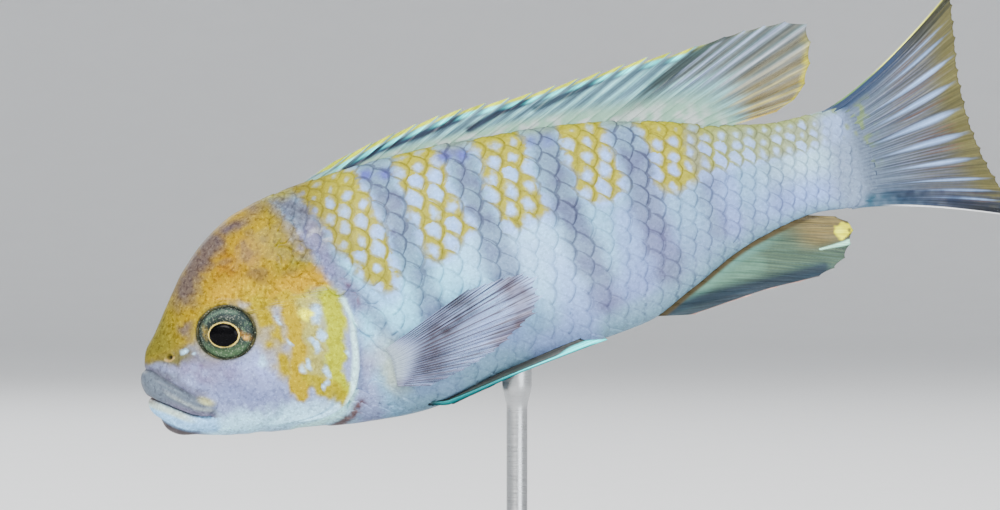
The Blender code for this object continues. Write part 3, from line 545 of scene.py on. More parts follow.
def head_colour(a, h, hue):
    """Lays the head's colours over the body's, in the side view."""
    coat = Coat(hue)
    rough, fine = waves(a, h, 1.6, 11), waves(a, h, 0.55, 12)
    wa = a + 0.30 * rough + 0.20 * fine
    wh = h + 0.30 * waves(a, h, 1.8, 13) + 0.20 * waves(a, h, 0.6, 14)
    patchy = 0.75 + 0.35 * waves(a, h, 0.9, 15)
    front = ramp(0.9, -0.9, wa - 26.4 + 0.45 * np.maximum(h - 1, 0))
    dab, line = partial(blob, wa, wh), partial(stroke, wa, wh)

    # Cheek, throat and snout
    cheek = Coat(plain((180, 190, 208), a.shape))
    cheek((158, 152, 178), dab((9, -1.6), (4.6, 1.7), -24, 0.8) * patchy)
    cheek((154, 166, 196), dab((12, -5.4), (4.6, 1.3), -20, 0.8) * 0.6)
    cheek((206, 220, 230), line(((7, -7.9), (12.3, -9), (17.3, -10), (21, -10.6)), (1.2, 1.5), 0.9))
    cheek((192, 202, 222), dab((14, -2.8), (2.6, 1.6), -20, 0.9) * 0.5 * patchy)
    cheek((142, 132, 84), ramp(10.5, 5.5, wa) * ramp(0.3, 1.7, wh + 0.3 * (a - 3)))
    cheek((124, 134, 142), dab((2.4, -0.4), (2.2, 1.1), -20, 0.8) * 0.9)
    coat(cheek.hue, front)

    # Ochre over the eye and the crown, golden above the gill cover, mauve mottling along the outline, and
    # small painted glints behind the crown
    crown = ramp(-0.7, 0.9, wh - smooth(CROWN_FLOOR, a)) * front
    coat(setting("ochre"), crown)
    coat((142, 136, 62), crown * ramp(9, 4, a) * 0.8)
    coat((184, 142, 46), dab((14.6, 9.6), (3.8, 2.4), -15, 0.8) * patchy * 0.8)
    coat((146, 118, 84), crown * ramp(0.25, 0.8, waves(a, h, 1.2, 16)) * ramp(8, 11, a) * 0.6)
    coat((172, 158, 60), crown * ramp(16.5, 21, wa) * ramp(5.5, 8, h) * 0.75 * patchy)
    coat((202, 174, 50), line(((12, 6.6), (17, 5.5), (20.5, 5), (23.6, 4.8)), (1.1, 1), 0.8))
    coat((120, 108, 112), line(((13.2, 12.4), (10.2, 10.6), (8.3, 7.6)), (1.2, 1.5), 0.7) * 0.9)
    coat(setting("mauve"), dab((7.5, 3.9), (0.7, 0.8), 0, 0.7) * 0.8)
    nape = line(((15, 13.6), (18.7, 14.6), (20.5, 14.2), (22.7, 12.9), (24.2, 11.4)), (0.8, 1.6), 0.8)
    coat((128, 114, 118), nape * (0.6 + 0.45 * rough))
    coat((178, 168, 78), dab((22.4, 15.6), (2.8, 0.9), 0, 0.6) * 0.9)
    bar = line(((23.7, 10), (25.3, 5.8), (26.4, 3), (27.6, 1)), (1.3, 0.9), 0.7)
    coat((160, 163, 190), bar * ramp(0.8, -0.6, a - 27.5) * 0.8 * (0.8 + 0.3 * rough))
    coat((150, 98, 110), line(((26.3, 4.2), (27.4, 1.4)), (0.16, 0.10), 0.7) * 0.6)
    # Painted highlights: small white glints on the nape above the gill cover
    for centre in ((24.4, 10.2), (25.5, 10.1), (25.9, 8.9), (22.4, 10.6)):
        coat((224, 230, 238), dab(centre, (0.4, 0.22), 20, 0.8) * 0.35)

    # The gill cover: broad golden and lime fields with pale spots between, and a pale free edge
    gold = line(((16.4, 4.2), (16.4, 0.6), (16.6, -2), (16.8, -4.4)), (2.1, 1), 0.7)
    coat((194, 176, 74), gold * np.minimum(patchy * 1.15, 1))
    for path, wide, colour, strength in GILL_FIELDS:
        coat(colour, line(path, wide, 0.35) * strength)
    for centre, size in GILL_SPOTS:
        coat((200, 216, 230), dab(centre, size, 6, 0.45) * 0.9)
    coat((242, 240, 196), dab((20.9, 1.3), (0.6, 0.6), 0, 0.6) * 0.95)
    coat((216, 228, 240), stroke(a + 0.1 * rough, h, GILL_RIM, (0.26, 0.46), 0.8) * 0.85)

    # Painted highlights on the snout and cheek; lips with painted shade in their crease and a painted
    # highlight on their fold; mouth with painted shade in its slit; chin; nostril with painted shade in its
    # pit and painted light on its lower rim
    # Painted highlights: small pale spots on the snout and cheek where light glints
    for centre, size in GLINT_SPOTS:
        coat((206, 220, 238), dab(centre, size, 10, 0.6) * 0.8)
    side, share = beside(a, h, MOUTH)
    tall, near_mouth = LIP_HEIGHT[0] + LIP_HEIGHT[1] * share, ramp(8.4, 7, a)
    upper = ramp(-0.1, 0.2, side) * ramp(0.2, -0.2, side - tall) * near_mouth
    coat((140, 142, 160), ramp(1.3, 0.2, side - tall + 0.3 * fine) * ramp(-0.1, 0.2, side) * near_mouth * 0.8)
    coat((140, 152, 164), upper)
    coat((158, 156, 176), upper * ramp(1.2, 0.3, side) * ramp(0.2, 0.6, share) * 0.8)
    # Painted highlight: a light line along the ridge of the upper lip's fold
    coat((190, 196, 196), ramp(0.30, 0.02, np.abs(side - 0.55 * tall)) * upper * ramp(0.25, 0.5, share) * 0.5)
    # Painted shade: a dark line in the crease over the upper lip
    coat((96, 104, 116), ramp(0.26, 0.04, np.abs(side - tall)) * near_mouth * ramp(0.9, 0.5, share) * 0.7)
    coat((206, 204, 176), blob(a, h, (7.2, -4.6), (0.9, 0.35), -35, 0.7) * 0.7)
    under = near_mouth * ramp(-0.02, -0.2, side)
    coat((192, 212, 224), under * ramp(-2.1, -1.6, side))
    coat((208, 206, 180), under * ramp(-0.85, -0.45, side) * ramp(0.9, 0.6, share) * 0.6)
    coat((108, 92, 84), ramp(-1.5, -1.95, side) * ramp(-3.6, -2.9, side) * ramp(6.6, 3.8, a) * 0.95)
    # Painted shade: the dark line of the mouth, in the slit where the lips meet
    coat((76, 62, 56), ramp(0.17, 0.04, np.abs(side)) * near_mouth * 0.9)
    coat((150, 98, 62), ramp(0.5, 0.2, np.abs(side)) * ramp(2.2, 0.9, a) * 0.6)
    # Painted shade and light: the nostril's pit is painted dark, and a paler crescent on the lower half of its
    # rim is painted light
    pit = np.hypot((a - NOSTRIL[0]) / 0.36, (h - NOSTRIL[1]) / 0.28)
    coat((84, 76, 50), 1 - ramp(0.4, 1, pit))
    coat((204, 186, 150), (1 - ramp(0.2, 0.7, np.abs(pit - 1.4))) * ramp(0.1, -0.2, h - NOSTRIL[1]) * 0.7)

    # Reddish gill membrane under the cover, cream base of the pectoral fin, dark line round the eye
    membrane = stroke(a, h, ((16.5, -12.4), (19.6, -12.1), (22.4, -11.3), (24.2, -9.9)), (0.7, 0.3))
    coat((146, 98, 76), membrane * 0.9)
    coat((196, 200, 192), dab((28.8, -7.2), (1.4, 2.8), 0, 0.7) * 0.8)
    coat((202, 188, 190), dab((27, -5.2), (1, 1.8), -20, 0.8) * 0.4)
    ring = eye_ring(a, h)
    coat((186, 170, 88), ramp(4.6, 3.4, ring) * ramp(-2.4, 1, h) * 0.55)
    coat((66, 68, 46), (1 - ramp(0.08, 0.30, np.abs(ring - 3.38))) * 0.85)
    return coat.hue


def head_share(a, h):
    """How much of the head's speckling shows: all of it on the crown, less on the cheek, little behind."""
    return ramp(30, 23, a + 0.2 * h) * (0.45 + 0.55 * ramp(0, 5, h))


def relief(a, y, h, b, angle):
    """How far the skin stands out from the plain body, in millimetres, at every point of the grid."""
    centre, outward, level, upright = eye_frame()
    at = np.stack([a, np.abs(y), h], axis=-1) - centre
    ring = np.hypot(at @ level, at @ upright / EYE_SQUASH)
    near_eye = ramp(-3, -1, at @ outward)
    out = -COAT_DEPTH * ramp(0, 1.2, b - GILL_BASE) * ramp(88, 84, a)

    # The gill cover swells to a free edge and drops behind it
    plate = ramp(77, 84, angle) * (1 - ramp(152, 160, angle))
    share = np.clip((b - 17) / (GILL_BASE - 17), 0, 1)
    cover = GILL_LIFT * share**2 - 0.16 * bell(b - 23.9, 0.5)
    out += plate * np.where(b > GILL_BASE + 0.02, -0.34 * ramp(2.6, 0.3, b - GILL_BASE), cover)
    out -= 0.11 * stroke(a, h, CHEEK_FOLD, (0.5, 0.4), 0.95) * ramp(2.4, 0, h)
    out += 0.22 * blob(a, h, (12, -4.2), (4.2, 3), -20, 0.9)
    out += 0.12 * blob(a, h, (20.6, -2.5), (3, 4.5), 0, 0.9)

    # Lips, mouth line and chin
    side, share = beside(a, h, MOUTH)
    ends = ramp(8.2, 6.6, a)
    tall = LIP_HEIGHT[0] + LIP_HEIGHT[1] * share
    over = np.clip(1 - (2 * side / tall - 1) ** 2, 0, 1) ** 0.6
    under = np.clip(1 - ((side + 0.85) / 0.80) ** 2, 0, 1) ** 0.6
    out += (over + under) * (0.62 - 0.25 * share) * ends
    out -= (0.34 * bell(side, 0.14) + 0.15 * bell(side - tall, 0.22)) * ends
    fold = 0.10 * bell(side - 0.52 * tall, 0.17) - 0.09 * bell(side - 0.72 * tall, 0.14)
    out += fold * ends * ramp(0.10, 0.35, share)
    out += 0.35 * blob(a, h, (2.6, -6.6), (1.6, 0.9), -30, 0.8)
    lobe = np.hypot((a - 6.7) / 1.5, (h + 5) / 1.35)
    out += 0.30 * (1 - ramp(0.75, 1.05, lobe)) * ramp(5, 6.4, a)
    out -= 0.10 * bell(lobe - 1.15, 0.14) * ramp(6, 7.2, a)

    # Nostril, orbit and fleshy fin bases
    pit = np.hypot(a - NOSTRIL[0], h - NOSTRIL[1])
    out += 0.10 * bell(pit - 0.58, 0.16) - 0.55 * (1 - ramp(0.12, 0.42, pit))
    out += (0.16 * bell(ring - 3.75, 0.35) - 1.5 * (1 - ramp(3, 3.28, ring))) * near_eye
    out += PECTORAL_SWELL * blob(a, h, *PECTORAL_BASE)
    return out + 0.02 * waves(a, h, 1.2, 21) * ramp(27, 22, a)


# Meshes


def grid_faces(rows, columns, wrap=False, start=0):
    """Quads of a grid of rows x columns points, closed round when wrap is set."""
    i = np.arange(rows - 1)[:, None] * columns
    j = np.arange(columns if wrap else columns - 1)[None, :]
    k = (j + 1) % columns
    quads = np.stack([i + j, i + k, i + columns + k, i + columns + j], axis=-1)
    return quads.reshape(-1, 4) + start


def around(sides):
    """Angles of the points of a ring, in radians."""
    return np.linspace(0, 2 * np.pi, sides, endpoint=False)


def fan(ring, pole):
    """Triangles from a ring of vertex numbers to one pole."""
    ring = np.asarray(ring)
    return np.stack([ring, np.roll(ring, -1), np.full(len(ring), pole)], axis=1)


def tube(rings, poles=None):
    """Points and faces of a stack of equal rings, closed at both ends by poles, which are its last points."""
    rows, columns = rings.shape[:2]
    count = rows * columns
    if poles is None:
        poles = [rings[0].mean(axis=0), rings[-1].mean(axis=0)]
    ring = np.arange(columns)
    faces = [
        grid_faces(rows, columns, wrap=True), fan(ring[::-1], count), fan(ring + count - columns, count + 1)
    ]
    return np.concatenate([rings.reshape(-1, 3), poles]), faces


def copied(faces, count, total):
    """Faces of count copies of one shape, each of which has total points."""
    return [
        (block + (np.arange(count) * total)[:, None, None]).reshape(-1, block.shape[1]) for block in faces
    ]


def signed_volume(points, faces):
    """Six times the volume inside the faces, negative where they look inwards."""
    total = 0
    for block in faces:
        for k in range(1, block.shape[1] - 1):
            p, q, r = points[block[:, 0]], points[block[:, k]], points[block[:, k + 1]]
            total += np.einsum("ij,ij->i", p, np.cross(q, r)).sum()
    return total


def fill(mesh, name, kind, values):
    """Adds an attribute of the points to a mesh."""
    layer = mesh.attributes.new(name, kind, "POINT")
    layer.data.foreach_set("vector" if kind == "FLOAT_VECTOR" else "color", values.astype(np.float32).ravel())


def piece(name, parts, material, nodes=(), smooth_angle=None):
    """One object out of closed parts, in place of the named nodes.

    A part has faces and either points in the fish's millimetres or places in the world. It may have
    fields, which its finish reads, and a patch, the place of its points on the unwrap.
    """
    points, faces, fields, start = [], {3: [], 4: []}, {}, 0
    for part in parts:
        world = part["world"] if "world" in part else to_world(part["points"])
        outward = signed_volume(world - world.mean(axis=0), part["faces"]) >= 0
        for block in part["faces"]:
            faces[block.shape[1]].append((block if outward else block[:, ::-1]) + start)
        for key, value in part.get("fields", {}).items():
            fields.setdefault(key, []).append(value)
        points.append(world)
        start += len(world)
    points = np.concatenate(points)
    blocks = [np.concatenate(group) for group in faces.values() if group]
    corners = np.concatenate([block.ravel() for block in blocks])
    sizes = np.concatenate([np.full(len(block), block.shape[1]) for block in blocks])
    mesh = bpy.data.meshes.new(name)
    mesh.vertices.add(len(points))
    mesh.vertices.foreach_set("co", points.astype(np.float32).ravel())
    mesh.loops.add(len(corners))
    mesh.loops.foreach_set("vertex_index", corners.astype(np.int32))
    mesh.polygons.add(len(sizes))
    mesh.polygons.foreach_set("loop_start", (np.cumsum(sizes) - sizes).astype(np.int32))
    mesh.update(calc_edges=True)
    if mesh.validate():
        raise RuntimeError(f"{name} has faulty faces")
    for key, values in fields.items():
        values = np.concatenate(values)
        fill(mesh, key, "FLOAT_VECTOR" if values.shape[1] == 3 else "FLOAT_COLOR", values)
    if "patch" in parts[0]:
        layer = mesh.uv_layers.new(name="OFBake")
        layer.data.foreach_set("uv", parts[0]["patch"][corners].astype(np.float32).ravel())
    mesh.polygons.foreach_set("use_smooth", np.ones(len(sizes), bool))
    if smooth_angle is not None:
        mesh.set_sharp_from_angle(angle=math.radians(smooth_angle))
    mesh.materials.append(finish(material))
    made = bpy.data.objects.new(name, mesh)
    bpy.context.scene.collection.objects.link(made)
    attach(made, "root")
    if nodes:
        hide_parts(*nodes)
    return made


def with_alpha(colour, alpha):
    """A colour of three values with a fourth one after them."""
    return np.concatenate([colour, np.broadcast_to(alpha, colour.shape[:-1])[..., None]], axis=-1)


# Skin

SKIN_RINGS, SKIN_COLUMNS = 346, 264
# How many rings there are to a millimetre of the back's outline at places along the fish
RING_DENSITY = ((0.9, 6.5), (18, 6), (23.5, 6), (24.6, 12), (25.4, 12), (27.5, 3.4), (88.5, 2.8))
TAIL_WEDGE, WEDGE_RINGS = 3, 16
# Scale coordinates and half width of the net that the bare skin gets: far from any scale's edge
NO_NET = (9, 0.1, 0.5)


def skin_rows():
    """Places of the rings: evenly spread by arc length of the back times RING_DENSITY."""
    root = np.linspace(0.03, math.sqrt(LENGTH - NOSE_A), 3000)
    b = NOSE_A + root**2
    arc = np.hypot(np.gradient(b), np.gradient(station(BACK, b))) * smooth(RING_DENSITY, b)
    total = np.cumsum(arc)
    return np.interp(np.linspace(total[0], total[-1], SKIN_RINGS), total, b)


def mirrored(half):
    """A field of the right half section and, without its first and last column, of the left one after it."""
    return np.concatenate([half, half[:, -2:0:-1]], axis=1)


def skin_grid():
    """The whole trunk as a tube of rings, pulled so that one ring runs along the gill cover's free edge.

    With the points go each ring's own place b and each point's angle.
    """
    b = skin_rows()[:, None]
    w = np.linspace(0, 1, SKIN_COLUMNS // 2 + 1)
    edge = smooth(GILL_EDGE, turn_at(GILL_BASE, w))
    pull = ramp(3, GILL_BASE, b) * (1 - ramp(GILL_BASE, 60, b))
    a = np.minimum(b + pull * (edge - GILL_BASE), LENGTH)
    angle = turn_at(a, w)
    points = mirrored(flank(a, angle))
    points[:, len(w):, 1] *= -1
    return points, b, mirrored(angle)


def tail_wedge(last, hue):
    """Rings that thin the skin behind its last one to a wedge over the tail fin's root, and their colours."""
    share = np.linspace(0, 1, WEDGE_RINGS + 1)[1:, None]
    tall = (last[:, 2] - last[:, 2].min()) / np.ptp(last[:, 2])
    level = last[:, 2].mean()
    a = last[:, 0] + TAIL_WEDGE * share * (1.1 - 0.25 * np.abs(tall - 0.5) * 2)
    h = level + (last[:, 2] - level) * (1 + 0.05 * share)
    behind = Coat(np.broadcast_to(hue, (WEDGE_RINGS, *hue.shape)))
    behind((142, 158, 174), ramp(0, 0.8, share))
    streaks = cycle(tall * (CAUDAL_RAYS - 1) * 2)
    behind((108, 124, 146), ramp(0.4, 0.9, streaks) * ramp(0.3, 1, share) * 0.7)
    green = ramp(0, 0.6, waves(share * 4, tall * 12, 1, 51))
    behind((164, 172, 96), green * ramp(0.4, 0.7, tall) * 0.6)
    behind((52, 92, 132), ramp(0.90, 0.98, tall) * ramp(0, 0.7, share))
    behind((76, 120, 140), ramp(0.16, 0.05, tall) * ramp(0, 0.6, share))
    return np.stack([a, last[:, 1] * (1 - 0.95 * share), h], axis=-1), behind.hue


def make_skin():
    """The skin over head, trunk and gill covers: the body's grid, pushed out by its relief and painted."""
    grid, b, angle = skin_grid()
    a, y, h = np.moveaxis(grid, -1, 0)
    rings = grid + tube_normals(grid) * relief(a, y, h, b, angle)[..., None]
    hue, edge, strength, *_ = markings(a, h)
    hue = head_colour(a, h, lay(hue, edge, 0.35 * strength * ramp(16, 22, a)))
    wedge, behind = tail_wedge(rings[-1], hue[-1])
    points, faces = tube(np.concatenate([rings, wedge]))
    hue = np.concatenate([hue.reshape(-1, 3), behind.reshape(-1, 3), hue[0, :1], behind[-1, :1]])
    fields = {
        "hue": with_alpha(hue, head_share(points[:, 0], points[:, 2])),
        "line": with_alpha(hue, 0),
        "net": np.tile(NO_NET, (len(points), 1)),
    }
    nodes = ["head", "torso", "tail", "gill_cover_left", "gill_cover_right"]
    return piece("skin", [{"points": points, "faces": faces, "fields": fields}], "moist_skin", nodes)


# Scales

STEP_A = np.linspace(10, 90, 801)
STEP_U = np.concatenate([[0], np.cumsum(0.1 / smooth(SCALE_STEP, (STEP_A[:-1] + STEP_A[1:]) / 2))])
RIM_SHARES = (0.45, 0.8, 1)
RIM_SIDES = 14
# Power of the scales' outline: 2 would be an ellipse, 1 a rhomb
POINT = 1.6
# Width of one scale's patch on the unwrap of the skin, as a share of the unwrap
PATCH = 0.003


def on_rows(u, v):
    """Place on the body of scale coordinates: u counts scales along a row, v counts rows down the side."""
    a = np.interp(u, STEP_U, STEP_A)
    half = girth(np.minimum(a, LENGTH))
    return a, (v * ROW_SHARE * smooth(SCALE_STEP, a) + LATERAL_SHARE * half) / half


def scale_front(w):
    """Where the scales begin at share w: at the nape, then behind the gill cover's free edge."""
    return smooth(SCALE_FRONT, np.clip(w, 0, 1))


def scale_template():
    """Rings of one scale round its centre in row units, the rim last: long and high half ellipses."""
    turn = np.linspace(-np.pi, np.pi, RIM_SIDES, endpoint=False)
    turn = turn - 0.35 * np.sin(turn)
    x = np.where(np.cos(turn) > 0, SCALE_LONG, SCALE_ROOT) * np.cos(turn)
    y = SCALE_HIGH * np.sin(turn)
    out = (np.abs(np.cos(turn)) ** POINT + np.abs(np.sin(turn)) ** POINT) ** (-1 / POINT)
    rings = [np.stack([x * out * share, y * out * share], axis=1) for share in RIM_SHARES]
    return np.concatenate([[[0, 0]], *rings])


def scale_nodes():
    """Places of all the scales on one side in row units, each with its own small shift and size."""
    i, j = np.meshgrid(np.arange(2, 60), np.arange(-12, 14), indexing="ij")
    i, j = i.ravel(), j.ravel()
    u, v = i + ROW_SHIFT * j, j.astype(float)
    keep = (u > 1) & (u < STEP_U[-1] - 1)
    u, v = u[keep], v[keep]
    a, w = on_rows(u, v)
    back = station(BACK, np.minimum(a, LENGTH)) - station(UNDER, np.minimum(a, LENGTH))
    keep = (w > 0.9 / back) & (w < 1) & (a > scale_front(w)) & (a < LENGTH - 0.2)
    base = np.hypot((a - 28.3) / 2, (flank(a, turn_at(a, w))[..., 2] + 7.3) / 2.9)
    keep &= base > 1
    random = np.random.default_rng(77)
    count = keep.sum()
    du, dv = (random.uniform(-0.05, 0.05, count) for _ in range(2))
    return u[keep] + du, v[keep] + dv, random.uniform(0.95, 1.05, count), random.uniform(0, 1, count)


def with_sides(field):
    """A field of the scales' tops, repeated for the lower rim and for the pole under each scale."""
    return np.concatenate([field, field[:, -RIM_SIDES:], field[:, :1]], axis=1)


def make_scales():
    """Thin plates in oblique rows. Each lies a little higher towards its free rear rim than at its root."""
    node_u, node_v, size, chance = (column[:, None] for column in scale_nodes())
    template = scale_template()
    x, y = template[:, 0] * size, template[:, 1] * size
    a, w = on_rows(node_u + x, node_v + y)
    a, w = np.minimum(a, LENGTH + 1.5), np.clip(w, 0.002, 1)
    held = np.minimum(a, LENGTH - 0.1)
    points, normal = flank(held, turn_at(held, w)), skin_normal(held, w)
    points[..., 0] += a - held
    ax, hx = points[..., 0], points[..., 2]
    sizes = bpy.context.scene.cichlid_sizes
    lean = sizes.scale_lean * x * (1 - 0.5 * ramp(2, -6, hx)) - 0.045 * ramp(-0.2, -0.75, x)
    dome = 0.022 * (1 - (np.hypot(template[:, 0] / SCALE_LONG, template[:, 1] / SCALE_HIGH)) ** 2)
    root_a, root_w = on_rows(node_u, node_v)
    settle = 0.15 + 0.85 * ramp(0.5, 6, root_a - scale_front(root_w))
    lift = -0.04 + (lean + dome) * settle + 0.02 * (chance - 0.5)
    lift = lift * (smooth(SCALE_STEP, np.minimum(a, 87)) / 2.2)
    lift = lift + PECTORAL_SWELL * blob(ax, hx, *PECTORAL_BASE)
    top = points + normal * lift[..., None]
    rim = top[:, -RIM_SIDES:] - normal[:, -RIM_SIDES:] * sizes.scale_rim
    solid = np.concatenate([top, rim, top[:, :1] - normal[:, :1] * ROOT_DEPTH], axis=1)

    hue, edge, strength, half, net = markings(ax, hx)
    hue = head_colour(ax, hx, hue)
    edge = lay(edge, hue * 0.72, np.maximum(ramp(29, 25.5, ax) * (1 - net), ramp(24, 20.5, ax)))
    hue = np.clip(hue * (1 + 0.10 * (chance[..., None] - 0.5)), 0, 1)
    half = half / smooth(SCALE_STEP, np.minimum(a, 88)) * (0.7 + 0.7 * chance**1.5)
    fields = {
        "hue": with_alpha(with_sides(hue), head_share(solid[..., 0], solid[..., 2])),
        "line": with_sides(with_alpha(edge, strength * ramp(18.5, 22.5, ax))),
        "net": with_sides(np.stack([x, y, half], axis=-1)),
    }
    patch = np.stack([(root_a - 8) / 82 + x * PATCH / 2, root_w * 0.48 + y * PATCH / 2], axis=-1)
    patch = with_sides(patch)

    total = solid.shape[1]
    rings = np.arange(1, total - 1).reshape(-1, RIM_SIDES)
    quads = grid_faces(len(rings), RIM_SIDES, wrap=True, start=1)
    tris = np.concatenate([fan(rings[0][::-1], 0), fan(rings[-1], total - 1)])
    made = []
    ahead = node_u[:, 0] < np.median(node_u)
    for word, side in SIDES:
        for end, chosen in (("front", ahead), ("rear", ~ahead)):
            part = {
                "points": (solid[chosen] * np.array([1, side, 1])).reshape(-1, 3),
                "faces": copied([quads, tris], chosen.sum(), total),
                "fields": {key: field[chosen].reshape(-1, field.shape[-1]) for key, field in fields.items()},
                "patch": patch[chosen].reshape(-1, 2) + np.array([0, 0.01 if side < 0 else 0.51]),
            }
            made.append(piece(f"scales_{word}_{end}", [part], "moist_skin"))
    return made


# Eyes

EYE_RINGS, EYE_SIDES = 56, 128
# How far the pupil lies forward and down, half its length and half its height
PUPIL = (0.14, 0.26, 1.74, 1.37)
PUPIL_BLACK = np.array([0.001, 0.001, 0.0015])
# Radius of the fold of skin round the eye, its thickness and its height over the eye's middle
FOLD_RADIUS, FOLD_THICK, FOLD_HEIGHT, FOLD_SIDES = 3.38, 0.15, 0.50, 12


def eye_colours(x, y, r):
    """Iris, ring and pupil by the place in the eye's plane, x towards the tail and y up, in millimetres."""
    turn = np.arctan2(y, x)
    rough = waves(turn * 2.2, r * 2, 0.5, 31) * 0.5 + waves(turn * 9, r * 3, 0.6, 32) * 0.5
    coat = Coat(plain((80, 98, 94), x.shape))
    coat((78, 94, 96), ramp(0.4, 2.4, y) * 0.8)
    # Painted reflection: a pale arc along the top of the iris
    arc = stroke(x, y, ((-2.7, 0.3), (-2, 1.75), (-0.5, 2.45), (1.2, 2.3)), (0.12, 0.22), 0.8)
    coat((152, 172, 156), arc * 0.45)
    coat((130, 156, 120), ramp(-0.6, -2.2, y) * (0.7 + 0.3 * rough))
    coat((30, 40, 36), blob(x, y, (-0.2, -0.15), (2.25, 1.95), 0, 0.35) * 0.85)
    coat((36, 46, 40), ramp(2.75, 3.3, r) * 0.9)
    streak = stroke(x, y, ((1.5, 0.25), (2.1, -0.2), (2.7, -0.55)), (0.2, 0.36), 0.8)
    coat((176, 134, 60), streak * (0.7 + 0.6 * rough))
    coat((220, 196, 150), blob(x, y, (2.45, -0.6), (0.3, 0.22), 0, 0.7) * 0.9)
    coat((186, 164, 96), blob(x, y, (-2.35, 0), (0.35, 0.8), 15, 0.7) * (0.5 + 0.6 * rough))
    coat((150, 172, 146), ramp(0.4, 0.95, rough) * ramp(1.8, 2.2, r) * 0.4)
    pupil = np.hypot((x + PUPIL[0]) / PUPIL[2], (y + PUPIL[1]) / PUPIL[3])
    ring = 1 - ramp(0.014, 0.05, np.abs(pupil - 1.03 - 0.01 * rough))
    coat((226, 216, 180), ring * (1 - 0.5 * blob(x, y, (0.1, -1.6), (0.5, 0.3), 0, 0.5)))
    coat(PUPIL_BLACK, 1 - ramp(0.94, 1, pupil))
    return coat.hue, pupil


def make_eyes():
    """A flattened ball with a flat iris, a pupil that bulges, and a fold of skin round it."""
    centre, outward, back, up = eye_frame()
    lean = (np.linspace(0, 1, EYE_RINGS + 1)[1:] ** 0.9 * np.pi / 2)[:, None]
    spin = around(EYE_SIDES)
    r = (EYE_RADIUS - 0.03) * np.sin(lean) * np.ones(EYE_SIDES)
    x, y = r * np.cos(spin), r * np.sin(spin) * EYE_SQUASH
    hue, pupil = eye_colours(x, y, r)
    z = (EYE_HALF_DEPTH - 0.12) * np.cos(lean) - 0.16 * bell(pupil - 1.12, 0.22)
    z = z + 0.04 * (1 - ramp(0.7, 1, pupil))
    front = centre + x[..., None] * back + y[..., None] * up + z[..., None] * outward
    rear = centre + 0.6 * (x[-1:, :, None] * back + y[-1:, :, None] * up) - 1.2 * outward
    poles = np.stack([centre + (EYE_HALF_DEPTH - 0.08) * outward, centre - 1.3 * outward])
    ball, ball_faces = tube(np.concatenate([front, rear]), poles)
    ball_hue = np.concatenate([hue.reshape(-1, 3), hue[-1], hue[0, :1], hue[-1, :1]])

    # The fold is a thin ring that lies on the rim of the socket
    round_tube, spin = around(FOLD_SIDES), spin[:, None]
    wide = FOLD_RADIUS + FOLD_THICK * np.cos(round_tube)
    high = FOLD_HEIGHT + FOLD_THICK * np.sin(round_tube) + 0.03 * np.cos(2 * spin)
    across = (wide * np.cos(spin))[..., None] * back + (wide * np.sin(spin) * EYE_SQUASH)[..., None] * up
    fold = (centre + across + high[..., None] * outward).reshape(-1, 3)
    fold_faces = grid_faces(EYE_SIDES + 1, FOLD_SIDES, wrap=True) % len(fold)
    shade = waves(fold[:, 0], fold[:, 2], 1, 33)
    fold_hue = lay(plain((62, 66, 50), shade.shape), (104, 96, 60), ramp(0, 0.4, shade))
    made = []
    for word, side in SIDES:
        flip = np.array([1, side, 1])
        parts = [
            {"points": ball * flip, "faces": ball_faces, "fields": {"hue": with_alpha(ball_hue, 1)}},
            {"points": fold * flip, "faces": [fold_faces], "fields": {"hue": with_alpha(fold_hue, 1)}},
        ]
        made.append(piece(f"eye_{word}_wet", parts, "wet_eye", [f"eye_{word}"]))
    return made


# Fins

WEB_HALF = (0.13, 0.045)
# Fine lines to one gap between rays, and how quickly they change along a ray
SILK = (6, 2)


def fin_sheet(rays, rows, per_gap, root_at, tip_at, short, branch=0, flare=1, early=0.30):
    """Middle surface of a fin and the fields that its paint and thickness are made of.

    Column q counts rays and row t runs from root to edge: a point lies at share t * (1 - short(q)) of the
    straight line from root_at(q) to tip_at(q). The ridge is a bell over each ray, which splits in two
    and then in four on the outer part where branch is set.
    """
    q = np.linspace(0, rays - 1, (rays - 1) * per_gap + 1)
    t = np.linspace(0, 1, rows)[:, None]
    reach = (t * (1 - short(q)))[..., None]
    root, tip = root_at(q)[None], tip_at(q)[None]
    points = root * (1 - reach) + tip * reach
    points[..., 2] = (root * (1 - reach**flare) + tip * reach**flare)[..., 2]
    spacing = np.linalg.norm(np.gradient(points, axis=1), axis=-1) * per_gap
    q, t = np.broadcast_to(q, points.shape[:2]), np.broadcast_to(t, points.shape[:2])
    aside = np.abs(q - np.rint(q))
    first = branch * 0.17 * ramp(early, early + 0.55, t)
    second = branch * 0.085 * ramp(0.58, 1, t)
    gap = np.minimum(np.abs(aside - first - second), np.abs(aside - first + second)) * spacing
    ridge = bell(gap, 0.17 - 0.07 * t)
    return {"points": points, "q": q, "t": t, "ridge": ridge, "spacing": spacing}


def rim_faces(rows, columns):
    """Quads that join the edges of two equal grids whose vertices follow each other."""
    top = np.arange(columns)
    right = np.arange(1, rows) * columns + columns - 1
    bottom = (rows - 1) * columns + np.arange(columns - 2, -1, -1)
    left = np.arange(rows - 2, 0, -1) * columns
    loop = np.concatenate([top, right, bottom, left])
    after = np.roll(loop, -1)
    second = rows * columns
    return np.stack([loop, after, after + second, loop + second], axis=1)


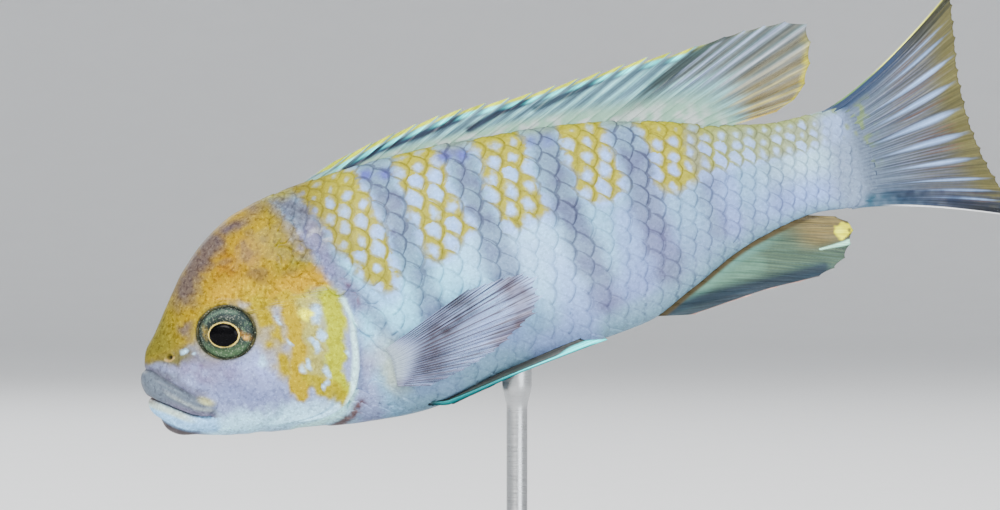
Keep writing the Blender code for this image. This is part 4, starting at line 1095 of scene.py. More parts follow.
def make_fin(name, sheet, hue, alpha, rib, across=(0, 1, 0), side=1, silk=0.6):
    """A fin in place of its node: the sheet, set off both ways by the web's half thickness and its ridges."""
    rows, columns = sheet["t"].shape
    web = WEB_HALF[0] + (WEB_HALF[1] - WEB_HALF[0]) * ramp(0, 0.5, sheet["t"])
    half = web + rib * (1 - 0.6 * sheet["t"]) * sheet["ridge"]
    offset = np.asarray(across, float) * half[..., None]
    points = np.stack([sheet["points"] + offset, sheet["points"] - offset]) * np.array([1, side, 1])
    quads = grid_faces(rows, columns)
    faces = [np.concatenate([quads, quads[:, ::-1] + rows * columns, rim_faces(rows, columns)[:, ::-1]])]
    colour = with_alpha(np.clip(hue, 0, 1), alpha).reshape(-1, 4)
    fine = silk * ramp(0.1, 0.4, sheet["t"])
    thread = np.stack([sheet["q"] * SILK[0], sheet["t"] * SILK[1], fine], axis=-1).reshape(-1, 3)
    fields = {"hue": np.tile(colour, (2, 1)), "silk": np.tile(thread, (2, 1))}
    part = {"points": points.reshape(-1, 3), "faces": faces, "fields": fields}
    return piece(f"{name}_rayed", [part], "fin_membrane", [name])


def ray_shares(q, root_shares, tip_shares):
    """Share along the root and along the edge for ray coordinates q."""
    number = np.arange(len(root_shares))
    return np.interp(q, number, root_shares), np.interp(q, number, tip_shares)


def in_plane(a, h, y=0):
    """Points of the side view, set y millimetres to the right of the middle plane."""
    return np.stack([a, np.broadcast_to(y, np.shape(a)), h], axis=-1)


def beads(sheet, size):
    """Small segments along the rays, from 0 to 1 and back every size millimetres."""
    run = np.linalg.norm(sheet["points"] - sheet["points"][:1], axis=-1)
    return cycle(run / size + 0.5 * waves(sheet["q"] * 2, sheet["t"], 1, 41))


# Dark lines of the spiny part and the wedge behind it: path, half width, softness and strength
DORSAL_LINES = (
    (((30, 16), (34, 17), (40, 17.3), (44.2, 17.7)), (0.35, 0.45), 0.6, 1),
    (((45, 16.2), (49, 17), (52.6, 17.3)), (0.4, 0.35), 0.6, 1),
    (((53, 16.2), (57, 16.6), (61.4, 17.1)), (0.35, 0.3), 0.6, 0.85),
)
DORSAL_WEDGE = (
    (((60.8, 12.4), (64.5, 13.3), (67.2, 14.4)), (0.25, 0.95), 0.5, 1),
    (((67.2, 14.4), (70.3, 16), (74, 17.1)), (0.95, 0.35), 0.5, 1),
    (((72, 16.9), (74.5, 17.3), (77, 17.6)), (0.3, 0.2), 0.4, 1),
)


def dorsal_fin():
    """Seventeen low spines with pointed flaps behind their tips, then ten longer branched rays."""
    front, split, after, rear = DORSAL_ROOT_SPLIT
    first, last, soft, end = DORSAL_EDGE_SPLIT
    spines, rays = DORSAL_SPINES, DORSAL_RAYS
    roots = np.concatenate([np.linspace(front, split, spines), np.linspace(after, rear, rays)])
    tips = np.concatenate([np.linspace(first, last, spines), np.linspace(soft, end, rays)])
    edge = on_edge(DORSAL_EDGE)

    def root_at(q):
        a, _ = ray_shares(q, roots, tips)
        return in_plane(a, station(BACK, a) - 0.35)

    def tip_at(q):
        _, share = ray_shares(q, roots, tips)
        a, h = edge(share).T
        return in_plane(a, h + 0.1)

    def short(q):
        behind = q - np.floor(q)
        flap = 0.13 * (1 - behind) ** 1.2 * ramp(0, 0.10, behind)
        scallop = 0.03 * np.sin(np.pi * behind) ** 0.7
        return np.where(q < spines - 1, flap * ramp(0.2, 1.5, q), scallop) * (1 - 0.15 * ramp(0, 1, q))

    sheet = fin_sheet(spines + rays, 44, 12, root_at, tip_at, short, branch=1)
    q, t, ridge = sheet["q"], sheet["t"], sheet["ridge"]
    frac = q - np.floor(q)
    soft_part = ramp(spines - 1, spines + 0.2, q)
    a, h = sheet["points"][..., 0], sheet["points"][..., 2]
    sheet["points"][..., 1] += 0.22 * np.sin(a * 0.33) * t**1.5
    sheet["points"][..., 1] += 0.10 * soft_part * np.cos(2 * np.pi * q) * t**2
    below = smooth(DORSAL_TOP, a) - h

    coat = Coat(plain((174, 194, 184), a.shape))
    coat((148, 178, 186), ramp(0.12, 0.45, t))
    stripes = cycle(q + 0.15)
    coat((186, 212, 212), ramp(0.50, 1, stripes) * ramp(0.2, 0.45, t) * 0.55)
    coat((96, 122, 136), ramp(0.50, 0, stripes) * ramp(0.18, 0.5, t) * 0.65 * (1 - 0.4 * soft_part))

    # Along the spiny part a dark line runs under pale flaps edged with yellow
    spiny = (1 - soft_part) * ramp(27, 31, a)
    coat((44, 66, 88), strokes(a, h, DORSAL_LINES) * (1 - soft_part))
    flap = ramp(1.25, 0.75, below) * ramp(0.25, 0.75, frac) * spiny
    coat((214, 240, 232), flap * 0.9)
    coat((40, 74, 112), ramp(0.10, 0, np.abs(below - 1.15) / 3) * ramp(0.1, 0.6, frac) * spiny * 0.5)
    yellow = setting("fin_yellow")
    coat(yellow, ramp(0.62, 0.36, below) * (1 - soft_part) * ramp(0.05, 0.35, frac))
    coat(yellow, ramp(29.5, 26, a) * ramp(0.75, 0.35, below) * 0.9)
    coat(yellow * 0.85, ramp(0.30, 0.15, below) * soft_part * ramp(84.5, 82, a))

    # The last spine carries a dark wedge; behind it the rays turn from lavender to brown and cream
    coat((150, 160, 166), soft_part * ramp(0.25, 0.6, t) * 0.8)
    coat((204, 204, 206), ramp(-0.2, 0.6, waves(a, h, 0.8, 52)) * ramp(0.30, 0.08, t) * 0.6)
    bands = cycle(q - 0.12)
    coat((182, 192, 206), soft_part * ramp(0.72, 1, bands) * ramp(0.3, 0.5, t) * 0.85)
    coat((118, 120, 112), ramp(0.6, 0.05, bands) * soft_part * ramp(0.38, 0.6, t) * 0.75)
    rear = ramp(19.5, 24.5, q)
    coat((166, 144, 68), rear * ramp(0.25, 0.55, t) * (0.4 + 0.5 * (1 - bands)))
    coat((204, 192, 132), rear * ramp(0.72, 1, bands) * ramp(0.2, 0.5, t) * 0.8)
    coat((206, 196, 108), soft_part * ramp(21, 23, q) * ramp(0.93, 0.985, t) * 0.85)
    coat((206, 190, 136), ramp(25.4, 26, q) * ramp(0.1, 0.3, t) * 0.9)
    coat((70, 88, 86), strokes(a, h, DORSAL_WEDGE) * (0.25 + 0.65 * ramp(0.1, 0.55, t)))
    clear = 0.30 * rear * ramp(0.35, 0.7, t) + 0.12 * soft_part * ramp(0.4, 0.7, t)
    alpha = 1 - clear * (1 - ridge)
    return make_fin("dorsal_fin", sheet, coat.hue, alpha, rib=0.16)


def anal_fin():
    """Three short spines and soft rays, fanned along a curved edge; a yellow egg spot near the rear tip."""
    shares = np.linspace(0, 1, ANAL_RAYS)
    roots = ANAL_ROOT[0] + (ANAL_ROOT[1] - ANAL_ROOT[0]) * shares
    edge = on_edge(ANAL_EDGE)

    def root_at(q):
        a, _ = ray_shares(q, roots, shares)
        return in_plane(a, station(UNDER, a) + 0.35)

    def tip_at(q):
        _, share = ray_shares(q, roots, shares**ANAL_LEAN)
        a, h = edge(share).T
        return in_plane(a, h)

    def short(q):
        behind = q - np.floor(q)
        flap = 0.05 * (1 - behind) * ramp(0, 0.1, behind) * ramp(3.2, 2.8, q)
        return 0.03 * np.sin(np.pi * behind) ** 0.7 + flap

    sheet = fin_sheet(ANAL_RAYS, 64, 18, root_at, tip_at, short, branch=1)
    q, t, ridge = sheet["q"], sheet["t"], sheet["ridge"]
    a, h = sheet["points"][..., 0], sheet["points"][..., 2]
    sheet["points"][..., 1] += 0.2 * np.sin(a * 0.4) * t**1.5
    down = station(UNDER, a) - h
    above = h - smooth(ANAL_BAND, a)

    coat = Coat(plain((106, 130, 116), a.shape))
    fine = cycle(q * 4 + 0.2 * waves(q * 3, t * 6, 1, 43))
    coat((150, 166, 138), fine * ramp(66, 72, a) * 0.4)
    coat((92, 120, 116), beads(sheet, 0.38) * (0.35 + 0.65 * ridge) * ramp(64, 70, a) * 0.65)
    coat((144, 180, 174), ramp(1.9, 0.7, down) * ramp(77, 71, a) * 0.7)
    coat((148, 178, 164), stroke(a, h, ((60.5, -9.8), (66.5, -9), (72, -8.6)), (0.4, 1), 0.8) * 0.6)
    coat((150, 134, 92), ramp(75.5, 80, a + 0.55 * (h + 7)) * ramp(-9.6, -8.2, h) * 0.85)
    coat((196, 178, 136), ramp(76.5, 80, a) * ramp(-8.8, -7.2, h) * fine * 0.5)
    band = stroke(a, h, ((58.8, -10.7), (64.2, -10.5), (70.1, -10.9), (79, -11.5)), (0.8, 1), 0.8)
    coat((40, 68, 88), band * 0.95)
    coat((58, 80, 94), stroke(a, h, ((68, -10.4), (74, -10.9), (79.5, -11)), (0.2, 0.3), 0.7) * 0.7)
    coat((72, 92, 106), ramp(1.05, 0.55, above) * ramp(78, 72, a) * 0.85)
    coat((214, 196, 190), ramp(0.24, 0.12, above) * ramp(79, 76, a))
    coat((112, 96, 60), ramp(0.75, 0.35, down) * (1 - ramp(0.05, 0.2, -down)))
    coat((66, 70, 40), ramp(0.93, 0.98, t) * ramp(6.5, 8, q) * 0.85)
    coat((222, 240, 222), stroke(a, h, ((79.6, -9), (82.2, -9.2), (83.6, -9.2)), (0.08, 0.32), 0.35))
    wa, wh = a + 0.3 * waves(a, h, 0.5, 44), h + 0.2 * waves(a, h, 0.5, 49)
    egg = blob(wa, wh, (82.6, -7.7), (1, 0.8), 8, 0.16)
    coat((218, 212, 140), egg)
    coat((224, 222, 170), blob(a, h, (82.4, -7.6), (0.5, 0.4), 0, 0.6) * 0.5)
    alpha = 1 - 0.22 * ramp(77, 81, a + 0.5 * (h + 7)) * (1 - ridge) * (1 - egg)
    return make_fin("anal_fin", sheet, coat.hue, alpha, rib=0.15, silk=0.4)


# Pale streaks of the tail: ray coordinate, where they begin, widest half width in ray units, strength
TAIL_STREAKS = (
    (1.55, 0.45, 0.10, 0.45), (2.35, 0.42, 0.17, 0.85), (3.95, 0.38, 0.26, 1), (5.55, 0.36, 0.27, 1),
    (7.25, 0.32, 0.31, 1), (8.85, 0.36, 0.27, 1), (10.6, 0.42, 0.21, 0.95), (12.1, 0.40, 0.15, 0.85),
    (13.05, 0.45, 0.14, 0.85), (13.8, 0.50, 0.12, 0.9),
)


def caudal_fin():
    """A fan of sixteen rays whose outer ones bend outwards."""
    top, bottom = float(station(BACK, LENGTH)) - 0.10, float(station(UNDER, LENGTH)) + 0.10
    edge = on_edge(CAUDAL_EDGE)

    def root_at(q):
        share = q / (CAUDAL_RAYS - 1)
        a = LENGTH - 1 - 1.2 * np.sin(np.pi * share)
        return in_plane(a, top + (bottom - top) * share)

    def tip_at(q):
        a, h = edge(q / (CAUDAL_RAYS - 1)).T
        return in_plane(a, h)

    def short(q):
        return 0.012 * np.abs(np.sin(np.pi * q)) ** 0.8 + 0.006 * np.abs(np.sin(2 * np.pi * q))

    sheet = fin_sheet(CAUDAL_RAYS, 84, 14, root_at, tip_at, short, branch=1, flare=CAUDAL_FLARE)
    q, t, ridge, spacing = sheet["q"], sheet["t"], sheet["ridge"], sheet["spacing"]
    a, h = sheet["points"][..., 0], sheet["points"][..., 2]
    sheet["points"][..., 1] += 0.28 * np.sin(q * 0.75) * t**1.6
    rough = waves(a, h, 0.55, 45)

    coat = Coat(plain((142, 158, 174), a.shape))
    coat((124, 142, 156), ramp(0.22, 0.42, t))
    green = ramp(0.12, 0.2, t) * ramp(0.42, 0.26, t) * ramp(10.5, 8, q) * ramp(1, 2.5, q)
    coat((158, 172, 96), ramp(0, 0.7, rough) * green * 0.75)
    coat((126, 122, 112), ramp(0.35, 0.65, t) * 0.8)
    coat((140, 130, 76), ramp(0.72, 0.94, t) * 0.95)
    lines = cycle(q * 4 + 0.15 * waves(q * 4, t * 5, 1, 46))
    rust = ramp(0.1, 0.6, waves(q * 3, t * 3, 1, 47)) * ramp(0.45, 0.65, t) * ramp(0.95, 0.85, t)
    coat((150, 92, 70), ramp(0.5, 1, lines) * rust * 0.55)
    coat((172, 180, 200), ramp(0.5, 1, 1 - lines) * ramp(0.2, 0.45, t) * ramp(0.9, 0.6, t) * 0.4)
    thin = cycle(q * 5 + 0.25 * waves(q * 5, t * 4, 1, 52))
    coat((72, 84, 96), ramp(0.55, 1, thin) * ramp(0.15, 0.4, t) * ramp(0.95, 0.7, t) * 0.5)
    coat((90, 100, 122), ramp(0.35, 0.9, ridge) * ramp(0.2, 0.42, t) * ramp(0.8, 0.6, t) * 0.5)
    coat((92, 84, 52), ramp(0.35, 0.9, ridge) * ramp(0.6, 0.85, t) * 0.45)
    for centre, start, wide, strength in TAIL_STREAKS:
        run = np.clip((t - start) / (0.93 - start), 0, 1)
        swell = np.clip(4.2 * run**1.35 * (1 - run) ** 0.85, 0, 1)
        faint = ramp(start - 0.25, start + 0.1, t) * ramp(1, 0.93, t)
        gap = np.abs(q - centre)
        half = 0.8 * wide * (0.35 + 0.65 * swell)
        coat((86, 94, 112), ramp(half * 2.1, half * 1.3, gap) * faint * swell * 0.55)
        coat((168, 186, 204), ramp(half * 1.5, half * 0.6, gap) * faint * strength * (0.35 + 0.65 * swell))
        coat((196, 210, 224), ramp(half * 0.8, half * 0.1, gap) * swell * strength * 0.6)

    # Dark margins with pale outer edges
    from_top, from_bottom = q * spacing, (CAUDAL_RAYS - 1 - q) * spacing
    coat((46, 84, 124), ramp(2.4, 1, from_top) * ramp(0, 0.1, t) * ramp(0.85, 0.5, t) * 0.95)
    coat((58, 62, 44), ramp(1.7, 0.9, from_top) * ramp(0.5, 0.75, t) * 0.85)
    coat((236, 232, 196), ramp(0.26, 0.14, from_top) * ramp(0.3, 0.5, t))
    coat((190, 206, 150), ramp(0.26, 0.14, from_top) * ramp(0.05, 0.15, t) * ramp(0.5, 0.3, t) * 0.6)
    blue = ramp(3, 1, from_bottom) * ramp(0.02, 0.12, t) * ramp(0.6, 0.3, t)
    coat((72, 124, 146), blue * (0.75 + 0.3 * rough))
    coat((42, 66, 98), ramp(4, 1.6, from_bottom) * ramp(0.12, 0.4, t) * (0.75 + 0.2 * rough))
    coat((26, 34, 44), ramp(1.3, 0.8, from_bottom) * ramp(0.55, 0.8, t) * 0.8)
    coat((236, 244, 240), ramp(0.30, 0.17, from_bottom) * ramp(0.15, 0.4, t))
    alpha = 1 - 0.12 * ramp(0.8, 0.95, t) * (1 - ridge)
    return make_fin("caudal_fin", sheet, coat.hue, alpha, rib=0.15, silk=0.45)


def pectoral_fins():
    """Clear fans that open away from the flanks; thin dark rays run past the edge of the web."""
    root, edge = on_edge(PECTORAL_ROOT), on_edge(PECTORAL_EDGE)

    def root_at(q):
        a, h = root(q / (PECTORAL_RAYS - 1)).T
        return in_plane(a, h, half_width(a, h) + 0.35)

    def tip_at(q):
        a, h = edge(q / (PECTORAL_RAYS - 1)).T
        start = root_at(q)
        reach = np.hypot(a - start[..., 0], h - start[..., 2])
        return in_plane(a, h, start[..., 1] + PECTORAL_OPEN * reach)

    def short(q):
        return 0.035 * np.abs(np.sin(2 * np.pi * q)) ** 0.5 + 0.03 * np.abs(np.sin(np.pi * q))

    sheet = fin_sheet(PECTORAL_RAYS, 60, 18, root_at, tip_at, short, branch=1.35, early=-0.35)
    q, t, ridge = sheet["q"], sheet["t"], sheet["ridge"]
    points = sheet["points"]
    points[..., 1] += 0.35 * np.sin(np.pi * t) + 0.10 * np.cos(2 * np.pi * q) * t
    a, h = points[..., 0], points[..., 2]
    coat = Coat(plain((206, 214, 228), a.shape))
    inner = stroke(a, h, ((38.2, -3), (35, -5.2), (33, -8.4)), (2, 2), 0.9)
    outer = stroke(a, h, ((44.2, -2.4), (45.4, -4.2), (44.6, -6.6), (41.6, -8.2)), (1.3, 1.5), 0.8)
    patchy = 0.85 + 0.15 * waves(a, h, 0.9, 48)
    coat((98, 90, 100), inner * 0.95 * patchy)
    coat((134, 98, 90), outer * 0.9 * patchy)
    coat((190, 198, 204), ramp(0.24, 0.06, t))
    ray = ramp(0.35, 0.85, ridge)
    coat((92, 78, 92), ray * ramp(0.06, 0.28, t) * 0.95)
    coat((64, 54, 68), ray * ramp(1.5, 0.3, q) * ramp(0.1, 0.4, t) * 0.8)
    coat((150, 150, 172), ray * ramp(9.5, 12, q) * 0.7)
    web = 0.26 + 0.5 * inner * patchy + 0.6 * outer * patchy + 0.75 * ramp(0.24, 0.06, t) * ramp(0, 0.05, t)
    ray = ray * ramp(0.05, 0.18, t)
    alpha = web * ramp(0, 0.05, t) + 0.72 * ray * ramp(13.5, 9, q) + 0.35 * ray * ramp(8, 12, q)
    alpha = np.clip(alpha, 0, 1)
    return [make_fin(f"pectoral_fin_{word}", sheet, coat.hue, alpha, 0.10, side=side) for word, side in SIDES]


def pelvic_fins():
    """Narrow fins folded under the belly. The first web hangs from the flank to a low white spine."""
    edge = on_edge(PELVIC_EDGE)
    last = PELVIC_RAYS - 1
    along, across = PELVIC_ROOT_A, PELVIC_ROOT_Y

    def root_at(q):
        share = q / last
        a, y = along[0] + (along[1] - along[0]) * share, across[0] + (across[1] - across[0]) * share
        return in_plane(a, belly(a, y), y)

    def tip_at(q):
        a, y = edge(q / last).T
        return in_plane(a, belly(a, 0) - 0.6, y)

    def short(q):
        return 0.03 * np.abs(np.sin(np.pi * q)) ** 0.7

    sheet = fin_sheet(PELVIC_RAYS, 72, 16, root_at, tip_at, short, branch=0.8)
    q, t, ridge = sheet["q"], sheet["t"], sheet["ridge"]
    points = sheet["points"]
    a = points[..., 0]
    lift = np.clip(1 - q, 0, 1) ** 0.8
    low = belly(a, 0) - 0.05 - 0.05 * t
    near = belly(a, points[..., 1] * np.clip(1 - 0.45 * t, 0, 1)) - 0.35
    hung = np.where(t < 0.02, points[..., 2], np.minimum(near * (1 - lift) + low * lift, near + 0.1))
    points[..., 2] = points[0, :, 2] * (1 - ramp(0, 0.12, t)) + hung * ramp(0, 0.12, t)
    coat = Coat(plain((70, 92, 98), a.shape))
    coat((70, 84, 86), ramp(0.2, 0.6, ridge) * ramp(1.4, 2, q) * 0.7)
    coat((18, 40, 44), ramp(0.28, 0.5, q) * ramp(1.7, 1.2, q))
    coat((92, 112, 104), blob(q, t * 4, (0.45, 1.2), (0.22, 1.6), 0, 0.6) * 0.7)
    wide = 0.12 + 0.40 * ramp(0.72, 0.92, t)
    coat((214, 244, 240), ramp(wide * 1.25, wide * 0.8, q) * ramp(0, 0.1, t))
    coat((20, 40, 66), ramp(0.07, 0.03, q) * ramp(0.97, 0.9, t) * 0.8)
    alpha = 1 - 0.25 * ramp(2, 3, q) * (1 - ridge)
    return [
        make_fin(f"pelvic_fin_{word}", sheet, coat.hue, alpha, 0.12, PELVIC_FACE, side) for word, side in SIDES
    ]


# Teeth

# How many there are, the rings and sides of each, and half the row's width
TEETH, TOOTH_RINGS, TOOTH_SIDES, TEETH_SPREAD = 13, 5, 10, 1.9


def make_teeth():
    """A row of small cones under the front of the upper lip, pointing down and forward."""
    across = np.linspace(-TEETH_SPREAD, TEETH_SPREAD, TEETH)
    root = np.stack([1.15 + 0.13 * across**2, across, -1.35 - 0.10 * across**2], axis=-1)
    along = np.array([-0.42, 0, -0.91]) * (0.9 + 0.1 * np.cos(np.arange(TEETH) * 2.4))[:, None]
    t = np.linspace(0, 1, TOOTH_RINGS)
    radius = 0.15 * (1 - t**1.6 * 0.85)
    spin = around(TOOTH_SIDES)
    ring = np.stack([0.9 * np.cos(spin), np.sin(spin), -0.42 * np.cos(spin)], axis=-1)
    body = root[:, None, None] + along[:, None, None] * 0.75 * t[:, None, None] + ring * radius[:, None, None]
    ends = np.stack([root, root + along * 0.80], axis=1)
    points = np.concatenate([body.reshape(TEETH, -1, 3), ends], axis=1)
    _, faces = tube(body[0])
    shade = np.concatenate([np.repeat(t, TOOTH_SIDES), [0, 1]])
    hue = lay(plain((206, 190, 150), shade.shape), (130, 78, 34), ramp(0.2, 0.9, shade))
    part = {
        "points": points.reshape(-1, 3),
        "faces": copied(faces, TEETH, len(shade)),
        "fields": {"hue": with_alpha(np.tile(hue, (TEETH, 1)), 1)},
    }
    return piece("teeth", [part], "wet_eye")


# Stand and surroundings

BASE_SQUARENESS, BASE_BEVEL = 2.6, 1
COLLAR_RADIUS, COLLAR_HEIGHT, ROD_RADIUS, SADDLE_RADIUS = 3.2, 1.2, 1.2, 1.7
# Radius of the rounded edges of the base's foot and of the collar, and of the hollow between collar and rod
EDGE_ROUND, ROD_FILLET = 0.4, 0.9
BASE_SIDES, ROD_SIDES = 240, 72


def belly_over(x, y):
    """Height of the belly above a spot of the base, found by stepping along the fish's axis."""

    def under(a):
        return np.moveaxis(to_world(np.stack([a, np.zeros_like(a), belly(a, y)], axis=-1)) / MM, -1, 0)

    a = np.full(np.shape(x), ROD_A)
    for _ in range(20):
        a = a - (under(a)[0] - x) / math.cos(PITCH)
    return under(a)[2]


def stand_piece(name, rings, material, node):
    """A part of the stand out of rings in the frame's millimetres."""
    points, faces = tube(np.stack(rings))
    return piece(name, [{"world": points * MM, "faces": faces}], material, [node], smooth_angle=40)


def make_stand():
    """The base is a superellipse whose edges are rounded by quarter circles; the rod is a turned profile."""
    turn = around(BASE_SIDES)
    round_trip = np.stack([np.cos(turn), np.sin(turn)], axis=1)
    oval = np.sign(round_trip) * np.abs(round_trip) ** (2 / BASE_SQUARENESS)
    low, high = BASE_LOW / MM, BASE_HIGH / MM
    half, height = (high - low)[:2] / 2, high[2]
    bend = np.linspace(0, np.pi / 2, 9)
    foot, edge = EDGE_ROUND * (1 - np.sin(bend[::2])), BASE_BEVEL * (1 - np.cos(bend))
    inset = np.concatenate([[2.2, 0.4], foot, [0], edge, [BASE_BEVEL + 1.5, 12]])
    foot, edge = EDGE_ROUND * (1 - np.cos(bend[::2])), BASE_BEVEL * (1 - np.sin(bend))
    level = np.concatenate([[0, 0], foot, [height / 2], height - edge, [height, height]])
    rings = [np.insert(oval * (half - inward), 2, z, axis=1) for inward, z in zip(inset, level)]
    base = stand_piece("stand_plate", rings, "ebonised_wood", "stand_base")

    foot, top = ROD_FOOT, float(belly_over(0, 0)) - 0.12
    spin = around(ROD_SIDES)
    circle = np.stack([np.cos(spin), np.sin(spin)], axis=1)
    round_in = np.linspace(0, np.pi / 2, 6)
    collar = foot + COLLAR_HEIGHT
    profile = [(COLLAR_RADIUS - 0.2, foot), (COLLAR_RADIUS, foot + 0.2), (COLLAR_RADIUS, collar - EDGE_ROUND)]
    fall, climb, rise = 1 - np.cos(round_in), 1 - np.sin(round_in), np.linspace(0, 1, 8)
    profile += zip(COLLAR_RADIUS - EDGE_ROUND * fall, collar - EDGE_ROUND * climb)
    profile += zip(ROD_RADIUS + ROD_FILLET * climb, collar + ROD_FILLET * fall)
    profile += [(ROD_RADIUS, top - 5)]
    profile += zip(ROD_RADIUS + (SADDLE_RADIUS - ROD_RADIUS) * ramp(0, 1, rise), top - 4 + 2.6 * rise)
    rings = [np.insert(circle * radius, 2, z, axis=1) for radius, z in profile]
    for share in (1, 0.96, 0.5):
        ring = circle * SADDLE_RADIUS * share
        under = belly_over(*ring.T) - 0.16 - 0.06 * (share == 1)
        rings.append(np.insert(ring, 2, under, axis=1))
    return [base, stand_piece("stand_stem", rings, "brushed_steel", "stand_rod")]


# Each light's name, place, size and colour; its power is a setting
LIGHTS = (
    ("key", (-0.35, -0.85, 0.62), 0.55, (1, 0.98, 0.95)),
    ("fill", (0.55, -0.80, 0.12), 0.60, (0.93, 0.97, 1)),
    ("top", (0.05, 0.10, 1.20), 0.70, (1, 1, 1)),
    ("back", (-0.55, 0.90, 0.60), 0.60, (0.96, 0.98, 1)),
)
LIGHTS_AIM, CAMERA_PLACE = (0.005, 0, 0.045), (-0.00195, -0.700, 0.0434)
# Floor of the studio: its flat radius, the quarter circle that lifts it, and the wall's top
FLOOR_RADIUS, FLOOR_BEND, WALL_TOP, FLOOR_SIDES = 2.2, 0.9, 3.2, 128


def place(name, data, spot, turn=(0, 0, 0)):
    """A new object in the scene."""
    made = bpy.data.objects.new(name, data)
    made.location, made.rotation_euler = spot, turn
    bpy.context.scene.collection.objects.link(made)
    return made


def make_stage():
    """A round floor that rises into a wall along a quarter circle, four soft lights and the camera."""
    spin = around(FLOOR_SIDES)
    bend = np.linspace(0, np.pi / 2, 14)[1:]
    radius = FLOOR_RADIUS + FLOOR_BEND * np.sin(bend)
    radius = np.concatenate([[0.05, 0.4, FLOOR_RADIUS], radius, radius[-1:]])
    level = np.concatenate([[0, 0, 0], FLOOR_BEND * (1 - np.cos(bend)), [WALL_TOP]])
    circle = np.stack([np.cos(spin), np.sin(spin)], axis=1)
    rings = [np.insert(circle * reach, 2, z, axis=1) for reach, z in zip(radius, level)]
    points = np.concatenate([*rings, [[0, 0, 0]]])
    quads = grid_faces(len(rings), FLOOR_SIDES, wrap=True)[:, ::-1]
    middle = fan(np.arange(FLOOR_SIDES), len(points) - 1)
    mesh = bpy.data.meshes.new("studio_bowl")
    mesh.from_pydata(points.tolist(), [], quads.tolist() + middle.tolist())
    mesh.polygons.foreach_set("use_smooth", np.ones(len(mesh.polygons), bool))
    mesh.materials.append(finish("pale_paper"))
    bowl = place("studio_bowl", mesh, (0, 0, 0))

    look = bpy.context.scene.cichlid_stage
    for name, spot, size, colour in LIGHTS:
        lamp = bpy.data.lights.new(f"{name}_light", "AREA")
        lamp.shape, lamp.size, lamp.color = "DISK", size, colour
        lamp.energy = getattr(look, f"{name}_power")
        aim = Vector(LIGHTS_AIM) - Vector(spot)
        place(f"{name}_light", lamp, spot, aim.to_track_quat("-Z", "Y").to_euler())

    world = bpy.data.worlds.new("studio_air")
    world.use_nodes = True
    air = world.node_tree.nodes["Background"]
    air.inputs["Color"].default_value = (0.93, 0.96, 1, 1)
    air.inputs["Strength"].default_value = look.air
    bpy.context.scene.world = world

    camera = bpy.data.cameras.new("photo_camera")
    camera.sensor_width, camera.lens, camera.clip_start, camera.clip_end = 36, look.lens, 0.01, 20
    bpy.context.scene.camera = place("photo_camera", camera, CAMERA_PLACE, (math.radians(90), 0, 0))


# Finishes


def finish(name):
    """The finish of that name. On its first use its even values are set and its nodes are built."""
    made = bpy.data.materials.get(name)
    if made:
        return made
    build, values = FINISHES[name]
    made = bpy.data.materials.new(name)
    made.use_nodes = True
    shader = made.node_tree.nodes["Principled BSDF"]
    for key, value in values.items():
        shader.inputs[key].default_value = value
    build(made.node_tree, shader)
    return made


def add(tree, kind, **settings):
    """A new node with its settings."""
    node = tree.nodes.new(kind)
    for key, value in settings.items():
        setattr(node, key, value)
    return node


def feed(tree, sockets, values):
    """Links or sets each socket, as its value is another socket or a constant."""
    for socket, value in zip(sockets, values):
        if isinstance(value, bpy.types.NodeSocket):
            tree.links.new(value, socket)
        else:
            socket.default_value = value


def maths(tree, operation, *values):
    """Sum, product or another operation on values."""
    node = add(tree, "ShaderNodeMath", operation=operation)
    feed(tree, node.inputs, values)
    return node.outputs[0]


def blend(tree, share, low, high, mode="MIX"):
    """Mix of two colours."""
    node = add(tree, "ShaderNodeMix", data_type="RGBA", blend_type=mode)
    feed(tree, (node.inputs[0], node.inputs[6], node.inputs[7]), (share, low, high))
    return node.outputs[2]


def spread(tree, value, low, high, to_low=0, to_high=1):
    """Smooth step of a value between two bounds."""
    node = add(tree, "ShaderNodeMapRange", interpolation_type="SMOOTHSTEP")
    feed(tree, node.inputs, (value, low, high, to_low, to_high))
    return node.outputs[0]


def pointed(tree, x, y):
    """Distance (|x|^1.6 + |y|^1.6)^(1/1.6), whose circles are drawn out to blunt points."""
    parts = [maths(tree, "POWER", maths(tree, "ABSOLUTE", value), POINT) for value in (x, y)]
    return maths(tree, "POWER", maths(tree, "ADD", *parts), 1 / POINT)


def noise(tree, spot, scale, detail=2, roughness=0.5):
    """Cloudy noise about 0.5."""
    node = add(tree, "ShaderNodeTexNoise")
    keys = ("Vector", "Scale", "Detail", "Roughness")
    feed(tree, [node.inputs[key] for key in keys], (spot, scale, detail, roughness))
    return node.outputs["Fac"]


def attribute(tree, name):
    """Outputs of a field that the mesh carries."""
    return add(tree, "ShaderNodeAttribute", attribute_name=name).outputs


def apart(tree, vector):
    """The three values of a vector."""
    node = add(tree, "ShaderNodeSeparateXYZ")
    tree.links.new(vector, node.inputs[0])
    return node.outputs


def object_place(tree, scale=None):
    """Object coordinates, stretched by axis where a scale is given."""
    spot = add(tree, "ShaderNodeTexCoord").outputs["Object"]
    if scale is None:
        return spot
    node = add(tree, "ShaderNodeMapping")
    feed(tree, (node.inputs["Scale"], node.inputs["Vector"]), (scale, spot))
    return node.outputs[0]


def dress(tree, shader, colour, grain, rough, bumps=None):
    """Gives the shader its colour, a roughness that follows the grain, and a bump.

    Each of the bumps has a height, a strength and a distance.
    """
    tree.links.new(colour, shader.inputs["Base Color"])
    tree.links.new(spread(tree, grain, 0.3, 0.7, *rough), shader.inputs["Roughness"])
    if bumps:
        node = add(tree, "ShaderNodeBump")
        feed(tree, [node.inputs[key] for key in ("Height", "Strength", "Distance")], bumps)
        tree.links.new(node.outputs["Normal"], shader.inputs["Normal"])


